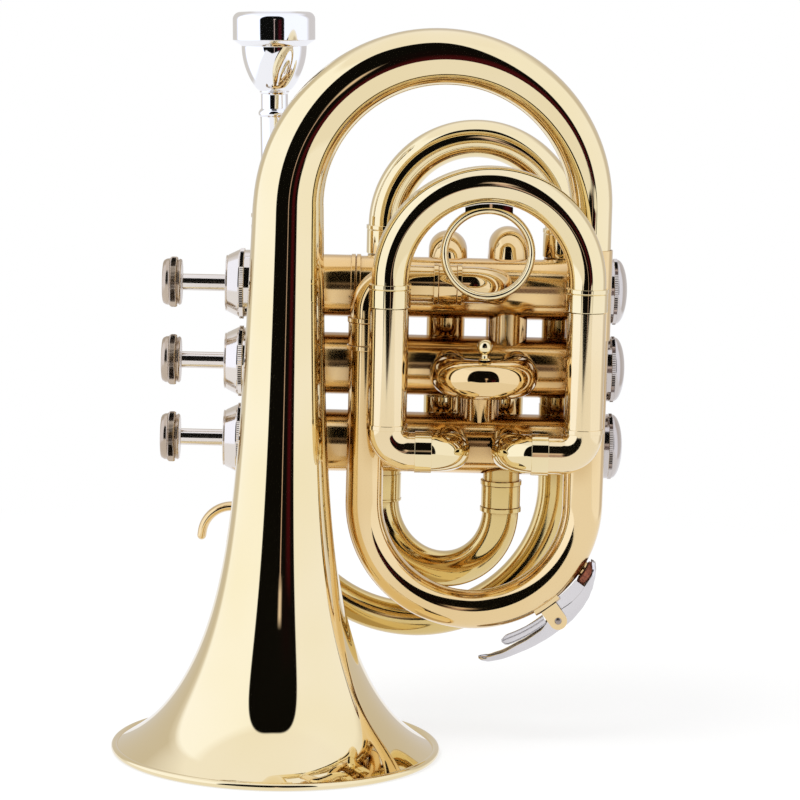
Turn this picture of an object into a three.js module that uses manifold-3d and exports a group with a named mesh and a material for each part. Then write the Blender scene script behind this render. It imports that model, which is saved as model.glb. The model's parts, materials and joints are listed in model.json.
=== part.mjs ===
// A pocket trumpet that stands on its bell, in millimetres, +Z up.
// The pieces are laid out from the centre of the bell's rim: +X runs along the valves to their
// bottom caps, +Y runs back to the leadpipe, and the last lines move that point to the row's origin.
import * as THREE from "three";
import { mergeVertices } from "three/addons/utils/BufferGeometryUtils.js";
import Module from "manifold-3d";

const wasm = await Module();
wasm.setup();

// Fineness of round surfaces
const tubeSides = 12;
const boreSides = 8;
const bellSides = 20;
const valveSides = 14;
const ringSides = 20;
const bendChordError = 1;
const flareSteps = 9;
const flareStepGrowth = 1.3;

// Walls and the gaps between pieces
const tubeWall = 0.6;
const legWall = 0.5;
const slideGap = 0.6;
const fitGap = 0.1;
const buttGap = 0.3;
const ferruleWall = 0.35;
const beadHeight = 0.35;
const beadLength = 1.5;
const overrun = 3;

// Bell: a straight taper with two flares added towards the rim
const bellRimRadius = 53.1;
const rimBeadRadius = 1.2;
const rimLipWidth = 1.3;
const bellWall = 0.7;
const stemRadiusAtRim = 16;
const stemRadiusAtBow = 11.2;
const flareHeight = 33;
const flareLength = 29;
const lipFlareHeight = 6;
const lipFlareLength = 4.5;
const stemLength = 175.8;
const stemLeanDegrees = 0.3;
const bellTailRadius = 6.6;

// Bell branch: the leg on the right, the lower bow and the leg on the left
const wrapWidth = 97.4;
const wrapDepth = 10;
const sleeveDrop = 12.2;
const sleeveLength = 29;
const branchRadius = 6.8;
const branchTailRadius = 5.8;
const lowerBowRadius = 35.3;
const lowerBowHeight = 80.8;
const tailFerruleBottom = 129.8;
const tailFerruleLength = 10.4;

// The run over valve 1 that leads from its casing to the bell branch
const bellRunRise = 3.1;
const bellElbowRadius = 9;
const portFerruleStart = 47.6;
const portFerruleLength = 9;

// Valves: three casings along X, counted from the top
const valveDepth = 28;
const valveSpacing = 25.5;
const lowestValveHeight = 97.3;
const casingStart = -14;
const casingEnd = 106.2;
const casingRadius = 9.9;
const casingHeadRadius = 10.1;
const casingBore = 8.75;
const guidePlace = 22.5;
const valveTravel = 14;
const pistonGap = 0.3;
const portBore = 5;

// Top and bottom caps
const capFaceRadius = 9.05;
const capRadius = 11.5;
const capSkirtRadius = 10.95;
const capConeLength = 4.6;
const knurlLength = 1.4;
const capSkirtLength = 3;
const capWall = 0.9;
const bottomCapRadius = 10.75;
const bottomCapSkirt = 2.2;
const bottomCapDome = 2.9;
const bottomCapFaceRadius = 8.3;

// Stems and finger buttons
const stemRadius = 2.7;
const stemClearance = 0.3;
const buttonStandoff = 14.4;
const buttonRadius = 8.2;
const buttonBackRadius = 7.5;
const buttonFaceRadius = 6.8;
const buttonLength = 6.1;
const buttonRimLength = 1.2;

// Pistons: a ported block behind a slotted barrel that holds the spring
const pistonStart = 36;
const pistonEnd = 88;
const barrelStart = -9;
const barrelBore = 7;
const barrelSlotHeight = 4;
const guideThickness = 2.4;
const guideRadius = 6.3;
const passageBore = 4.8;
const springRadius = 5.4;
const springWall = 0.9;

// Ports: how far along the casing each one lies
const bellPortPlace = 67.65;
const firstPortPlaces = [52.4, 72.1];
const upperCrossoverPlace = 72.4;
const secondPortPlaces = [53.6, 75.3];
const lowerCrossoverPlace = 63.85;
const thirdPortPlaces = [54.3, 73.3];
const entryPortPlace = 71.6;
const crossoverRadius = 6.3;

// First slide: its ports rise to the back, turn over, and run down behind the casings
const firstPortAngle = 120;
const firstTubeRadius = 6.35;
const firstDomeRadii = [7.5, 6.85];
const firstLegDepth = 18.5;
const firstLegBottom = 110.9;
const firstBowHeight = 101;
const firstBowTubeRadius = 6.1;
const firstLegOverlap = 24;

// Second slide: a short U towards the front
const secondTubeRadius = 6.3;
const secondStubLength = 9.5;
const secondFerruleLength = 3.4;
const secondLegOverlap = 8;
const knobRadius = 2.55;
const knobNeckRadius = 1.1;
const knobPlaceDegrees = 88;

// Third slide: a tall U across the front
const thirdDepth = -6.3;
const thirdRunRise = 2.1;
const thirdElbowRadius = 9;
const thirdLegWidth = 62.2;
const thirdCentre = 64.8;
const thirdTubeRadius = 6.2;
const thirdCornerRadius = 7.2;
const thirdBandLength = 5.4;
const thirdBandReach = 2.7;
const thirdBowHeight = 153.8;
const thirdBowTubeRadius = 5.9;
const thirdFerruleTop = 152.7;
const thirdFerruleLength = 7.3;
const thirdLegOverlap = 26;
const ringRadius = 15;
const ringShift = -0.6;
const ringThickness = 1.5;
const ringWidth = 4.6;
const ringDrop = 0.9;
const ringFootWidth = 13;

// Leadpipe, tuning slide and entry bow
const pipeDepth = 45;
const pipeRadius = 6.15;
const pipeStartRadius = 5.2;
const pipeLeanDegrees = 1.4;
const mouthTop = 236;
const mouthPlace = -6.4;
const mouthpieceLength = 88;
const mouthpieceInsertion = 22;
const receiverLength = 28;
const receiverOverlap = 10;
const receiverRadius = 7.4;
const receiverMouthRadius = 8;
const receiverCollarLength = 5;
const backBowRadius = 46.6;
const backBowHeight = 80.1;
const tuningTubeRadius = 6.3;
const tuningSeamHeight = 104;
const tuningSocketLength = 9;
const tuningFerruleTop = 167;
const tuningFerruleLength = 9.3;
const tuningLegOverlap = 40;
const tuningLeftPlace = 32.3;
const entryTubeRadius = 6;
const entryBowHeight = 75;
const entryFerruleLength = 10.4;

// Mouthpiece
const cupRimRadius = 13.5;
const cupRimLength = 9;
const cupLipDepth = 1;
const cupStepRadius = 10.65;
const cupStepPlace = 11;
const cupBaseRadius = 4.75;
const cupBasePlace = 25.8;
const cupRoundPower = 0.7;
const cupMouthRadius = 8.6;
const cupDepth = 12;
const throatRadius = 1.9;
const backboreRadius = 3.4;
const neckRadius = 4.4;
const neckLength = 5.7;
const mouthpieceBeadRadius = 5.3;
const mouthpieceBeadLength = 3.1;
const shankRadius = 4.7;
const shankEndRadius = 4.2;

// Finger hook on the leadpipe
const hookHeight = 69;
const hookReach = 9.4;
const hookBendRadius = 10;
const hookBendDegrees = 82;
const hookThickness = 2.6;
const hookWidth = 5.2;
const hookPadThickness = 2;

// Water key on the lower bow, placed by angle round the bow's centre
const keyNippleDegrees = -30.3;
const keyPivotDegrees = -53;
const keyTipDegrees = -86;
const nippleRadius = 2.6;
const nippleBore = 1.5;
const nippleRise = 0.4;
const nippleRoot = 1.8;
const corkRadius = 3.8;
const corkThickness = 2.4;
const leverThickness = 1.3;
const leverWidth = 6.2;
const leverRise = 8.4;
const pivotRise = 5.6;
const hingeBarrelRadius = 2.4;
const hingePinRadius = 0.8;
const hingeGap = 0.25;
const hingeBarrelWidth = 3.4;
const earThickness = 0.8;
const earRadius = 2.9;
const saddleDegrees = 13;
const saddleThickness = 1.1;
const keySpringWall = 0.5;
const keySpringWireRadius = 0.45;
const keySpringTipDegrees = -77;
const keySpringTipRise = 4.2;

// Brace between the bell's stem and the middle casing
const braceRadius = 3;
const bracePlace = 2;

// Finishes
const finish = (color, roughness) =>
  new THREE.MeshStandardMaterial({ color, roughness, metalness: 1 });
const lacqueredBrass = finish(0xd8a648, 0.12);
const nickel = finish(0xc9c8c4, 0.2);
const silver = finish(0xe8e8ec, 0.1);
const pistonMetal = finish(0xa9aaab, 0.3);
const springSteel = finish(0x8f9195, 0.35);
const cork = new THREE.MeshStandardMaterial({ color: 0x6a3324, roughness: 0.9, metalness: 0 });

const along = {
  x: new THREE.Vector3(1, 0, 0),
  y: new THREE.Vector3(0, 1, 0),
  z: new THREE.Vector3(0, 0, 1),
};
const reversed = (vector) => vector.clone().negate();
const { degToRad, radToDeg, lerp } = THREE.MathUtils;

// A centreline drawn as straights and round bends. It carries a side vector with it, so that
// every section of a tube keeps its corners in line from one end to the other.
class Route extends THREE.Curve {
  constructor(start, heading, side) {
    super();
    this.stations = [
      { point: start.clone(), heading: heading.clone().normalize(), side: side.clone(), run: 0 },
    ];
  }

  get end() {
    return this.stations.at(-1);
  }

  get steps() {
    return this.stations.length - 1;
  }

  straight(length, steps = 1) {
    const { point, heading, side, run } = this.end;
    for (let i = 1; i <= steps; i++) {
      const gone = (length * i) / steps;
      this.stations.push({
        point: point.clone().addScaledVector(heading, gone),
        heading: heading.clone(),
        side: side.clone(),
        run: run + gone,
      });
    }
    return this;
  }

  // Straights in steps that grow from short ones at the start by a constant factor.
  growingStraight(length, steps, growth) {
    const start = this.end;
    let gone = 0;
    const first = (length * (growth - 1)) / (growth ** steps - 1);
    for (let i = 0; i < steps; i++) {
      gone += first * growth ** i;
      this.stations.push({
        point: start.point.clone().addScaledVector(start.heading, gone),
        heading: start.heading.clone(),
        side: start.side.clone(),
        run: start.run + gone,
      });
    }
    return this;
  }

  bend(radius, degrees, towards) {
    const { point, heading, side, run } = this.end;
    const axis = new THREE.Vector3().crossVectors(heading, towards).normalize();
    const inward = new THREE.Vector3().crossVectors(axis, heading);
    const centre = point.clone().addScaledVector(inward, radius);
    const stepDegrees = 2 * radToDeg(Math.acos(1 - bendChordError / radius));
    const steps = Math.max(1, Math.round(degrees / stepDegrees));
    for (let i = 1; i <= steps; i++) {
      const angle = degToRad((degrees * i) / steps);
      this.stations.push({
        point: point.clone().sub(centre).applyAxisAngle(axis, angle).add(centre),
        heading: heading.clone().applyAxisAngle(axis, angle),
        side: side.clone().applyAxisAngle(axis, angle),
        run: run + radius * angle,
      });
    }
    return this;
  }

  getSpacedPoints() {
    return this.stations.map((station) => station.point);
  }

  computeFrenetFrames() {
    return {
      tangents: this.stations.map((station) => station.heading),
      normals: this.stations.map((station) => station.side),
      binormals: this.stations.map((station) =>
        new THREE.Vector3().crossVectors(station.heading, station.side),
      ),
    };
  }
}

function circle(radius, sides, stretch = 1) {
  return Array.from({ length: sides }, (_, i) => {
    const angle = (2 * Math.PI * i) / sides;
    return new THREE.Vector2(radius * Math.cos(angle), radius * stretch * Math.sin(angle));
  });
}

function sweep(section, route) {
  return new THREE.ExtrudeGeometry(section, {
    steps: route.steps,
    extrudePath: route,
    bevelEnabled: false,
  });
}

function tube(route, radius, wall = tubeWall) {
  const section = new THREE.Shape(circle(radius, tubeSides));
  section.holes.push(new THREE.Path(circle(radius - wall, boreSides)));
  return sweep(section, route);
}

const rod = (route, radius, sides = tubeSides) =>
  sweep(new THREE.Shape(circle(radius, sides)), route);

// A closed skin over rings of points: each ring joins the next, and the last joins the first.
function loft(rings) {
  const sides = rings[0].length;
  const position = rings.flat().flatMap((point) => point.toArray());
  const index = [];
  rings.forEach((_, r) => {
    const here = r * sides;
    const next = ((r + 1) % rings.length) * sides;
    for (let i = 0; i < sides; i++) {
      const j = (i + 1) % sides;
      index.push(here + i, here + j, next + j, here + i, next + j, next + i);
    }
  });
  return new THREE.BufferGeometry()
    .setAttribute("position", new THREE.Float32BufferAttribute(position, 3))
    .setIndex(index);
}

function ringAt({ point, heading, side }, radius, sides) {
  const across = new THREE.Vector3().crossVectors(heading, side);
  return circle(radius, sides).map(({ x, y }) =>
    point.clone().addScaledVector(side, x).addScaledVector(across, y),
  );
}

// A hollow tube along a route, whose outer and inner radius follow the distance run.
function taperedTube(route, outerAt, innerAt, sides) {
  const outer = route.stations.map((s) => ringAt(s, outerAt(s.run), sides));
  const inner = route.stations.map((s) => ringAt(s, innerAt(s.run), sides));
  return loft([...outer, ...inner.reverse()]);
}

// A turned piece about its own Y axis, from a closed profile of [radius, height] points.
function turned(profile, sides = valveSides) {
  const points = profile.map(([radius, height]) => new THREE.Vector2(radius, height));
  const closed = points[0].x === 0 ? points : [...points, points[0].clone()];
  if (THREE.ShapeUtils.area(points) < 0) closed.reverse();
  return new THREE.LatheGeometry(closed, sides);
}

function drum(radius, from, to, sides = valveSides) {
  return new THREE.CylinderGeometry(radius, radius, to - from, sides).translate(
    0,
    (from + to) / 2,
    0,
  );
}

function solidOf(geometry) {
  const loose = geometry.index ? geometry.toNonIndexed() : geometry;
  const bare = new THREE.BufferGeometry().setAttribute("position", loose.getAttribute("position"));
  const merged = mergeVertices(bare);
  const corners = [];
  for (let i = 0; i < merged.index.count; i += 3) {
    const [a, b, c] = [0, 1, 2].map((k) => merged.index.getX(i + k));
    if (a !== b && b !== c && c !== a) corners.push(a, b, c);
  }
  return new wasm.Manifold(
    new wasm.Mesh({
      numProp: 3,
      vertProperties: merged.attributes.position.array,
      triVerts: new Uint32Array(corners),
    }),
  );
}

function geometryOf(solid) {
  const { vertProperties, triVerts } = solid.getMesh();
  return new THREE.BufferGeometry()
    .setAttribute("position", new THREE.BufferAttribute(vertProperties, 3))
    .setIndex(new THREE.BufferAttribute(triVerts, 1));
}

const join = (...geometries) =>
  geometryOf(geometries.map(solidOf).reduce((whole, piece) => whole.add(piece)));
const cut = (geometry, ...tools) =>
  geometryOf(tools.map(solidOf).reduce((whole, tool) => whole.subtract(tool), solidOf(geometry)));

// Evenly spread values, both ends among them.
const spread = (from, to, steps) => Array.from({ length: steps + 1 }, (_, i) => lerp(from, to, i / steps));

// The bore, as drawn with flats, that a round tube of this radius fits into.
const boreFor = (radius, sides = tubeSides) => (radius + fitGap) / Math.cos(Math.PI / sides);

// The outline of a ferrule with a bead at each end, from its bore out.
function ferruleProfile(bore, length) {
  const skin = bore + ferruleWall;
  const bead = skin + beadHeight;
  return [
    [bore, 0],
    [bead, 0],
    [bead, beadLength],
    [skin, beadLength],
    [skin, length - beadLength],
    [bead, length - beadLength],
    [bead, length],
    [bore, length],
  ];
}

// The outline of a plain sleeve, from its bore out.
const sleeveProfile = (bore, length) => [
  [bore, 0],
  [bore + ferruleWall, 0],
  [bore + ferruleWall, length],
  [bore, length],
];

// A bead round a tube, standing on its own Y axis.
function beadOn(tubeRadius) {
  const inside = tubeRadius - tubeWall / 2;
  const crest = tubeRadius + beadHeight;
  return turned(
    [
      [inside, 0],
      [crest, 0],
      [crest, beadLength],
      [inside, beadLength],
    ],
    tubeSides,
  );
}

// The end of a tube that the next tube slips into: it grips the first tube over the reach.
function socketProfile(tubeRadius, length, reach) {
  const bore = boreFor(tubeRadius);
  const skin = bore + ferruleWall;
  return [
    [tubeRadius - tubeWall, 0],
    [skin, 0],
    [skin, length],
    [bore, length],
    [bore, reach],
    [tubeRadius - tubeWall, reach],
  ];
}

const trumpet = new THREE.Group();

function addMesh(name, geometry, material, parent = trumpet) {
  const mesh = new THREE.Mesh(geometry, material);
  mesh.name = name;
  parent.add(mesh);
  return mesh;
}

// Turns a piece made about its own Y axis to lie along X or to stand along Z.
const layAlongX = (mesh) => mesh.rotateZ(-Math.PI / 2);
const standAlongZ = (mesh) => mesh.rotateX(Math.PI / 2);

// A moving U-shaped slide in its own XY plane: the bow opens down, and its two legs reach into
// the outer tubes. The ferrules start at the bow and end a gap short of the outer tubes.
function slideU({ width, bowTube, outerTube, ferrule, bowDrop = 0, overlap, rings = true }) {
  const legRadius = outerTube - tubeWall - slideGap;
  const legBore = legRadius - legWall;
  const skin = rings ? boreFor(outerTube) + ferruleWall : outerTube;
  const bead = rings ? skin + beadHeight : skin;
  const bottom = -bowDrop - ferrule;
  const leg = [
    [legBore, bottom - overlap],
    [legRadius, bottom - overlap],
    [legRadius, bottom],
    [bead, bottom],
    [bead, bottom + beadLength],
    [skin, bottom + beadLength],
    [skin, -bowDrop - beadLength / 2],
    [bowTube, -bowDrop],
    [bowTube, 0],
    [legBore, 0],
  ];
  const route = new Route(new THREE.Vector3(-width / 2, -tubeWall, 0), along.y, along.x)
    .straight(tubeWall)
    .bend(width / 2, 180, along.x)
    .straight(tubeWall);
  return join(
    tube(route, bowTube, bowTube - legBore),
    turned(leg, tubeSides).translate(-width / 2, 0, 0),
    turned(leg, tubeSides).translate(width / 2, 0, 0),
  );
}

// Bell, from the rim up the stem, over the top bow and down into the sleeve.
// The stem leans a little towards the far leg, and the bow turns it straight down there.
const wrapAcross = new THREE.Vector3(wrapWidth, wrapDepth, 0).normalize();
const stemLean = degToRad(stemLeanDegrees);
const stemHeading = along.z
  .clone()
  .multiplyScalar(Math.cos(stemLean))
  .addScaledVector(wrapAcross, Math.sin(stemLean));
const stemSide = along.x.clone().addScaledVector(stemHeading, -stemHeading.x).normalize();
const bowReach = Math.hypot(wrapWidth, wrapDepth) - stemLength * Math.sin(stemLean);
const topBowRadius = bowReach / (1 + Math.cos(stemLean));
const sleeveBottom = stemLength - sleeveDrop - sleeveLength;
const sleeveMiddle = sleeveBottom + sleeveLength / 2;
const bellRoute = new Route(new THREE.Vector3(), stemHeading, stemSide)
  .straight(2 * rimBeadRadius)
  .growingStraight(stemLength - 2 * rimBeadRadius, flareSteps, flareStepGrowth)
  .bend(topBowRadius, 180 - stemLeanDegrees, wrapAcross);
bellRoute.straight(bellRoute.end.point.z - sleeveMiddle - buttGap / 2);
const bowEndRun = stemLength + Math.PI * topBowRadius;

function bellSkin(run) {
  const stem = lerp(stemRadiusAtRim, stemRadiusAtBow, run / stemLength);
  const bowShare = Math.min((run - stemLength) / (bowEndRun - stemLength), 1);
  if (bowShare > 0) return lerp(stemRadiusAtBow, bellTailRadius, bowShare);
  const flare = flareHeight * Math.exp(-run / flareLength);
  return stem + flare + lipFlareHeight * Math.exp(-run / lipFlareLength);
}

function bellLining(run) {
  const slope = (bellSkin(run) - bellSkin(run + bellWall)) / bellWall;
  return bellSkin(run) - bellWall * Math.hypot(1, slope);
}

function makeBell() {
  const rest = bellRoute.stations.slice(1);
  const rim = { point: new THREE.Vector3(), heading: along.z, side: along.x };
  const atHeight = (height) => ({ ...rim, point: new THREE.Vector3(0, 0, height) });
  const beadFlat = bellRimRadius - rimBeadRadius / 2;
  const rimRings = [
    ringAt(rim, beadFlat, bellSides),
    ringAt(atHeight(rimBeadRadius / 2), bellRimRadius, bellSides),
    ringAt(atHeight(1.5 * rimBeadRadius), bellRimRadius, bellSides),
    ringAt(atHeight(2 * rimBeadRadius), beadFlat, bellSides),
  ];
  const outer = rest.map((s) => ringAt(s, bellSkin(s.run), bellSides));
  const inner = rest.map((s) => ringAt(s, bellLining(s.run), bellSides));
  const lip = ringAt(rim, beadFlat - rimLipWidth, bellSides);
  return loft([...rimRings, ...outer, ...inner.reverse(), lip]);
}

addMesh("bell", makeBell(), lacqueredBrass);

const bellSleeve = addMesh(
  "bell_sleeve",
  turned(sleeveProfile(boreFor(branchRadius), sleeveLength), tubeSides),
  lacqueredBrass,
);
standAlongZ(bellSleeve).position.set(wrapWidth, wrapDepth, sleeveBottom);

// Bell branch: down the right, round the lower bow, up the left
const branchLeft = wrapWidth - 2 * lowerBowRadius;
const tailFerruleMiddle = tailFerruleBottom + tailFerruleLength / 2;
const branchStart = new THREE.Vector3(wrapWidth, wrapDepth, sleeveMiddle - buttGap / 2);
const branchRoute = new Route(branchStart, reversed(along.z), along.x)
  .straight(branchStart.z - lowerBowHeight)
  .bend(lowerBowRadius, 180, reversed(along.x))
  .straight(tailFerruleMiddle - lowerBowHeight - buttGap / 2);
const branchSkin = (run) =>
  lerp(branchRadius, branchTailRadius, run / branchRoute.end.run);
const branchRunAt = (degrees) =>
  branchStart.z - lowerBowHeight + lowerBowRadius * degToRad(-degrees);

// The plane of the lower bow, with its own X and Y along the trumpet's X and Z
const keyFrame = new THREE.Group();
keyFrame.position.set(wrapWidth - lowerBowRadius, wrapDepth, lowerBowHeight);
keyFrame.rotateX(Math.PI / 2);
keyFrame.updateMatrix();
trumpet.add(keyFrame);

const polar = (radius, degrees) =>
  new THREE.Vector2(radius * Math.cos(degToRad(degrees)), radius * Math.sin(degToRad(degrees)));

// A drum that points outwards from the lower bow's centre, between two distances from it
function radialDrum(radius, from, to, degrees) {
  return drum(radius, from, to, tubeSides).rotateZ(degToRad(degrees) - Math.PI / 2);
}

const nippleSurface = lowerBowRadius + branchSkin(branchRunAt(keyNippleDegrees));
const nippleTop = nippleSurface + nippleRise;
const branch = taperedTube(branchRoute, branchSkin, (run) => branchSkin(run) - tubeWall, tubeSides);
addMesh(
  "bell_branch",
  cut(
    join(
      branch,
      radialDrum(nippleRadius, nippleSurface - nippleRoot, nippleTop, keyNippleDegrees).applyMatrix4(
        keyFrame.matrix,
      ),
    ),
    radialDrum(nippleBore, lowerBowRadius, nippleTop + overrun, keyNippleDegrees).applyMatrix4(
      keyFrame.matrix,
    ),
  ),
  lacqueredBrass,
);

const tailFerrule = addMesh(
  "bell_tail_ferrule",
  turned(ferruleProfile(boreFor(branchTailRadius), tailFerruleLength), tubeSides),
  lacqueredBrass,
);
standAlongZ(tailFerrule).position.set(branchLeft, wrapDepth, tailFerruleBottom);

// Valve frame: a group whose own Y axis runs along the casing and whose own X axis faces the front
const valveHeight = (valve) => lowestValveHeight + (3 - valve) * valveSpacing;
const axisPoint = (valve, place) => new THREE.Vector3(place, valveDepth, valveHeight(valve));

// A port's direction, by its angle from the front up over the casing
const portHeading = (degrees) =>
  new THREE.Vector3(0, -Math.cos(degToRad(degrees)), Math.sin(degToRad(degrees)));

// What a tube is cut with, so that its end sits round the casing
function casingSeat(valve, place) {
  return drum(casingRadius + buttGap, -casingRadius - overrun, casingRadius + overrun)
    .rotateZ(-Math.PI / 2)
    .translate(place, valveDepth, valveHeight(valve));
}

const bellRunHeight = valveHeight(1) + bellRunRise;
const bellPortDegrees = radToDeg(Math.atan2(bellRunRise, valveDepth - wrapDepth));
const thirdRunHeight = valveHeight(3) + thirdRunRise;
const thirdPortDegrees = radToDeg(Math.atan2(thirdRunRise, valveDepth - thirdDepth));

const ports = {
  bell: { place: bellPortPlace, degrees: bellPortDegrees },
  first: firstPortPlaces.map((place) => ({ place, degrees: firstPortAngle })),
  second: secondPortPlaces.map((place) => ({ place, degrees: 0 })),
  third: thirdPortPlaces.map((place) => ({ place, degrees: thirdPortDegrees })),
  upperUp: { place: upperCrossoverPlace, degrees: 90 },
  upperDown: { place: upperCrossoverPlace, degrees: -90 },
  lowerUp: { place: lowerCrossoverPlace, degrees: 90 },
  lowerDown: { place: lowerCrossoverPlace, degrees: -90 },
  entry: { place: entryPortPlace, degrees: -90 },
};
const valvePlan = [
  { valve: 1, inlet: ports.upperDown, outlet: ports.bell, slide: ports.first },
  { valve: 2, inlet: ports.lowerDown, outlet: ports.upperUp, slide: ports.second },
  { valve: 3, inlet: ports.entry, outlet: ports.lowerUp, slide: ports.third },
];

// A drilling from a point on the valve's axis out through the wall at a port
function drilling(radius, axisPlace, port, reach) {
  const from = new THREE.Vector3(0, axisPlace, 0);
  const angle = degToRad(port.degrees);
  const to = new THREE.Vector3(reach * Math.cos(angle), port.place, reach * Math.sin(angle));
  const heading = to.clone().sub(from);
  const side = new THREE.Vector3().crossVectors(heading, along.y).normalize();
  return rod(new Route(from, heading, side).straight(heading.length()), radius, boreSides);
}

function makeCasing(plan) {
  const bead = casingHeadRadius + beadHeight;
  const shell = turned([
    [casingBore, casingStart],
    [casingHeadRadius, casingStart],
    [casingHeadRadius, guidePlace - beadLength / 2],
    [bead, guidePlace - beadLength / 2],
    [bead, guidePlace + beadLength / 2],
    [casingRadius, guidePlace + beadLength / 2],
    [casingRadius, casingEnd],
    [casingBore, casingEnd],
  ]);
  const holes = [plan.inlet, plan.outlet, ...plan.slide].map((port) =>
    drilling(portBore, port.place, port, casingRadius + overrun),
  );
  return cut(shell, ...holes);
}

const topCapFace = casingStart - capWall - capConeLength - buttGap;
const stemTop = topCapFace - buttonStandoff;

function makeTopCap() {
  const bore = casingHeadRadius + buttGap;
  const knurlStart = topCapFace + capConeLength;
  const skirtStart = knurlStart + knurlLength;
  const inside = casingStart - buttGap;
  const stemHole = stemRadius + stemClearance;
  return turned([
    [stemHole, topCapFace],
    [capFaceRadius, topCapFace],
    [capRadius - beadHeight / 2, knurlStart],
    [capRadius, knurlStart],
    [capRadius, skirtStart],
    [capSkirtRadius, skirtStart],
    [capSkirtRadius, skirtStart + capSkirtLength],
    [bore, skirtStart + capSkirtLength],
    [bore, inside],
    [stemHole, inside],
  ]);
}

function makeBottomCap() {
  const bore = casingRadius + buttGap;
  const inside = casingEnd + buttGap;
  const top = inside + capWall;
  return turned([
    [0, inside],
    [bore, inside],
    [bore, casingEnd - bottomCapSkirt],
    [bore + ferruleWall, casingEnd - bottomCapSkirt],
    [bore + ferruleWall, casingEnd],
    [bottomCapRadius, casingEnd],
    [bottomCapRadius, top],
    [bottomCapFaceRadius, casingEnd + bottomCapDome + capWall],
    [0, casingEnd + bottomCapDome + 2 * capWall],
  ]);
}

function makeButton() {
  const rimStart = stemTop - buttonLength + buttonRimLength;
  const knurlStart = rimStart + buttonRimLength;
  return turned([
    [0, stemTop - buttonLength],
    [buttonFaceRadius, stemTop - buttonLength],
    [buttonBackRadius, rimStart],
    [buttonRadius, knurlStart],
    [buttonRadius, knurlStart + buttonRimLength],
    [buttonBackRadius, knurlStart + 2 * buttonRimLength],
    [buttonBackRadius, stemTop],
    [0, stemTop],
  ]);
}

// The ways through a piston: straight on at rest, and through the slide when it is pressed
function passage(portA, portB, shift) {
  const middle = (portA.place + portB.place) / 2 - shift;
  return [portA, portB].map((port) =>
    drilling(
      passageBore,
      middle,
      { ...port, place: port.place - shift },
      casingBore + overrun,
    ),
  );
}

function makePiston(plan) {
  const radius = casingBore - pistonGap;
  const body = drum(radius, barrelStart, pistonEnd, tubeSides);
  const springRoom = drum(barrelBore, barrelStart + capWall, pistonStart - capWall, tubeSides);
  const slotLength = valveTravel + guideThickness + 2 * buttGap;
  const slot = new THREE.BoxGeometry(2 * (radius + overrun), slotLength, barrelSlotHeight).translate(
    0,
    guidePlace + guideThickness / 2 + buttGap - slotLength / 2,
    0,
  );
  return cut(
    body,
    springRoom,
    slot,
    ...passage(plan.inlet, plan.outlet, 0),
    ...passage(plan.inlet, plan.slide[1], valveTravel),
    ...passage(plan.slide[0], plan.outlet, valveTravel),
  );
}

// The guide's two keys pass through the barrel's slots and end at the casing's wall.
function makeGuide() {
  const disc = drum(
    guideRadius,
    guidePlace - guideThickness / 2,
    guidePlace + guideThickness / 2,
    tubeSides,
  );
  const keys = new THREE.BoxGeometry(
    2 * (casingBore - 2 * pistonGap),
    guideThickness,
    barrelSlotHeight - 2 * buttGap,
  ).translate(0, guidePlace, 0);
  return join(disc, keys);
}

function makeValveSpring() {
  const from = barrelStart + capWall + buttGap;
  const to = guidePlace - guideThickness / 2 - buttGap;
  return turned(
    [
      [springRadius - springWall, from],
      [springRadius, from],
      [springRadius, to],
      [springRadius - springWall, to],
    ],
    tubeSides,
  );
}

for (const plan of valvePlan) {
  const frame = new THREE.Group();
  frame.position.copy(axisPoint(plan.valve, 0));
  layAlongX(frame);
  trumpet.add(frame);
  const add = (name, geometry, material) =>
    addMesh(name + "_" + plan.valve, geometry, material, frame);
  add("valve_casing", makeCasing(plan), lacqueredBrass);
  add("top_cap", makeTopCap(), nickel);
  add("bottom_cap", makeBottomCap(), nickel);
  add("finger_button", makeButton(), nickel);
  add("valve_stem", drum(stemRadius, stemTop + buttGap, barrelStart - buttGap, tubeSides), nickel);
  add("piston", makePiston(plan), pistonMetal);
  add("valve_guide", makeGuide(), lacqueredBrass);
  add("valve_spring", makeValveSpring(), springSteel);
}

function makeCrossover(upperValve, place) {
  const route = new Route(axisPoint(upperValve + 1, place), along.z, along.x).straight(valveSpacing);
  return cut(
    tube(route, crossoverRadius),
    casingSeat(upperValve, place),
    casingSeat(upperValve + 1, place),
  );
}

addMesh("crossover_1_2", makeCrossover(1, upperCrossoverPlace), lacqueredBrass);
addMesh("crossover_2_3", makeCrossover(2, lowerCrossoverPlace), lacqueredBrass);

// From the bell branch's left leg over to the front of valve 1
const portFerruleMiddle = portFerruleStart + portFerruleLength / 2;
const tailElbowStart = new THREE.Vector3(branchLeft, wrapDepth, tailFerruleMiddle + buttGap / 2);
const tailElbowRoute = new Route(tailElbowStart, along.z, along.x)
  .straight(bellRunHeight - bellElbowRadius - tailElbowStart.z)
  .bend(bellElbowRadius, 90, along.x)
  .straight(portFerruleMiddle - buttGap / 2 - branchLeft - bellElbowRadius);
addMesh("bell_tail_elbow", tube(tailElbowRoute, branchTailRadius), lacqueredBrass);

const portFerrule = addMesh(
  "bell_port_ferrule",
  turned(ferruleProfile(boreFor(branchTailRadius), portFerruleLength), tubeSides),
  lacqueredBrass,
);
layAlongX(portFerrule).position.set(portFerruleStart, wrapDepth, bellRunHeight);

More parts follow.
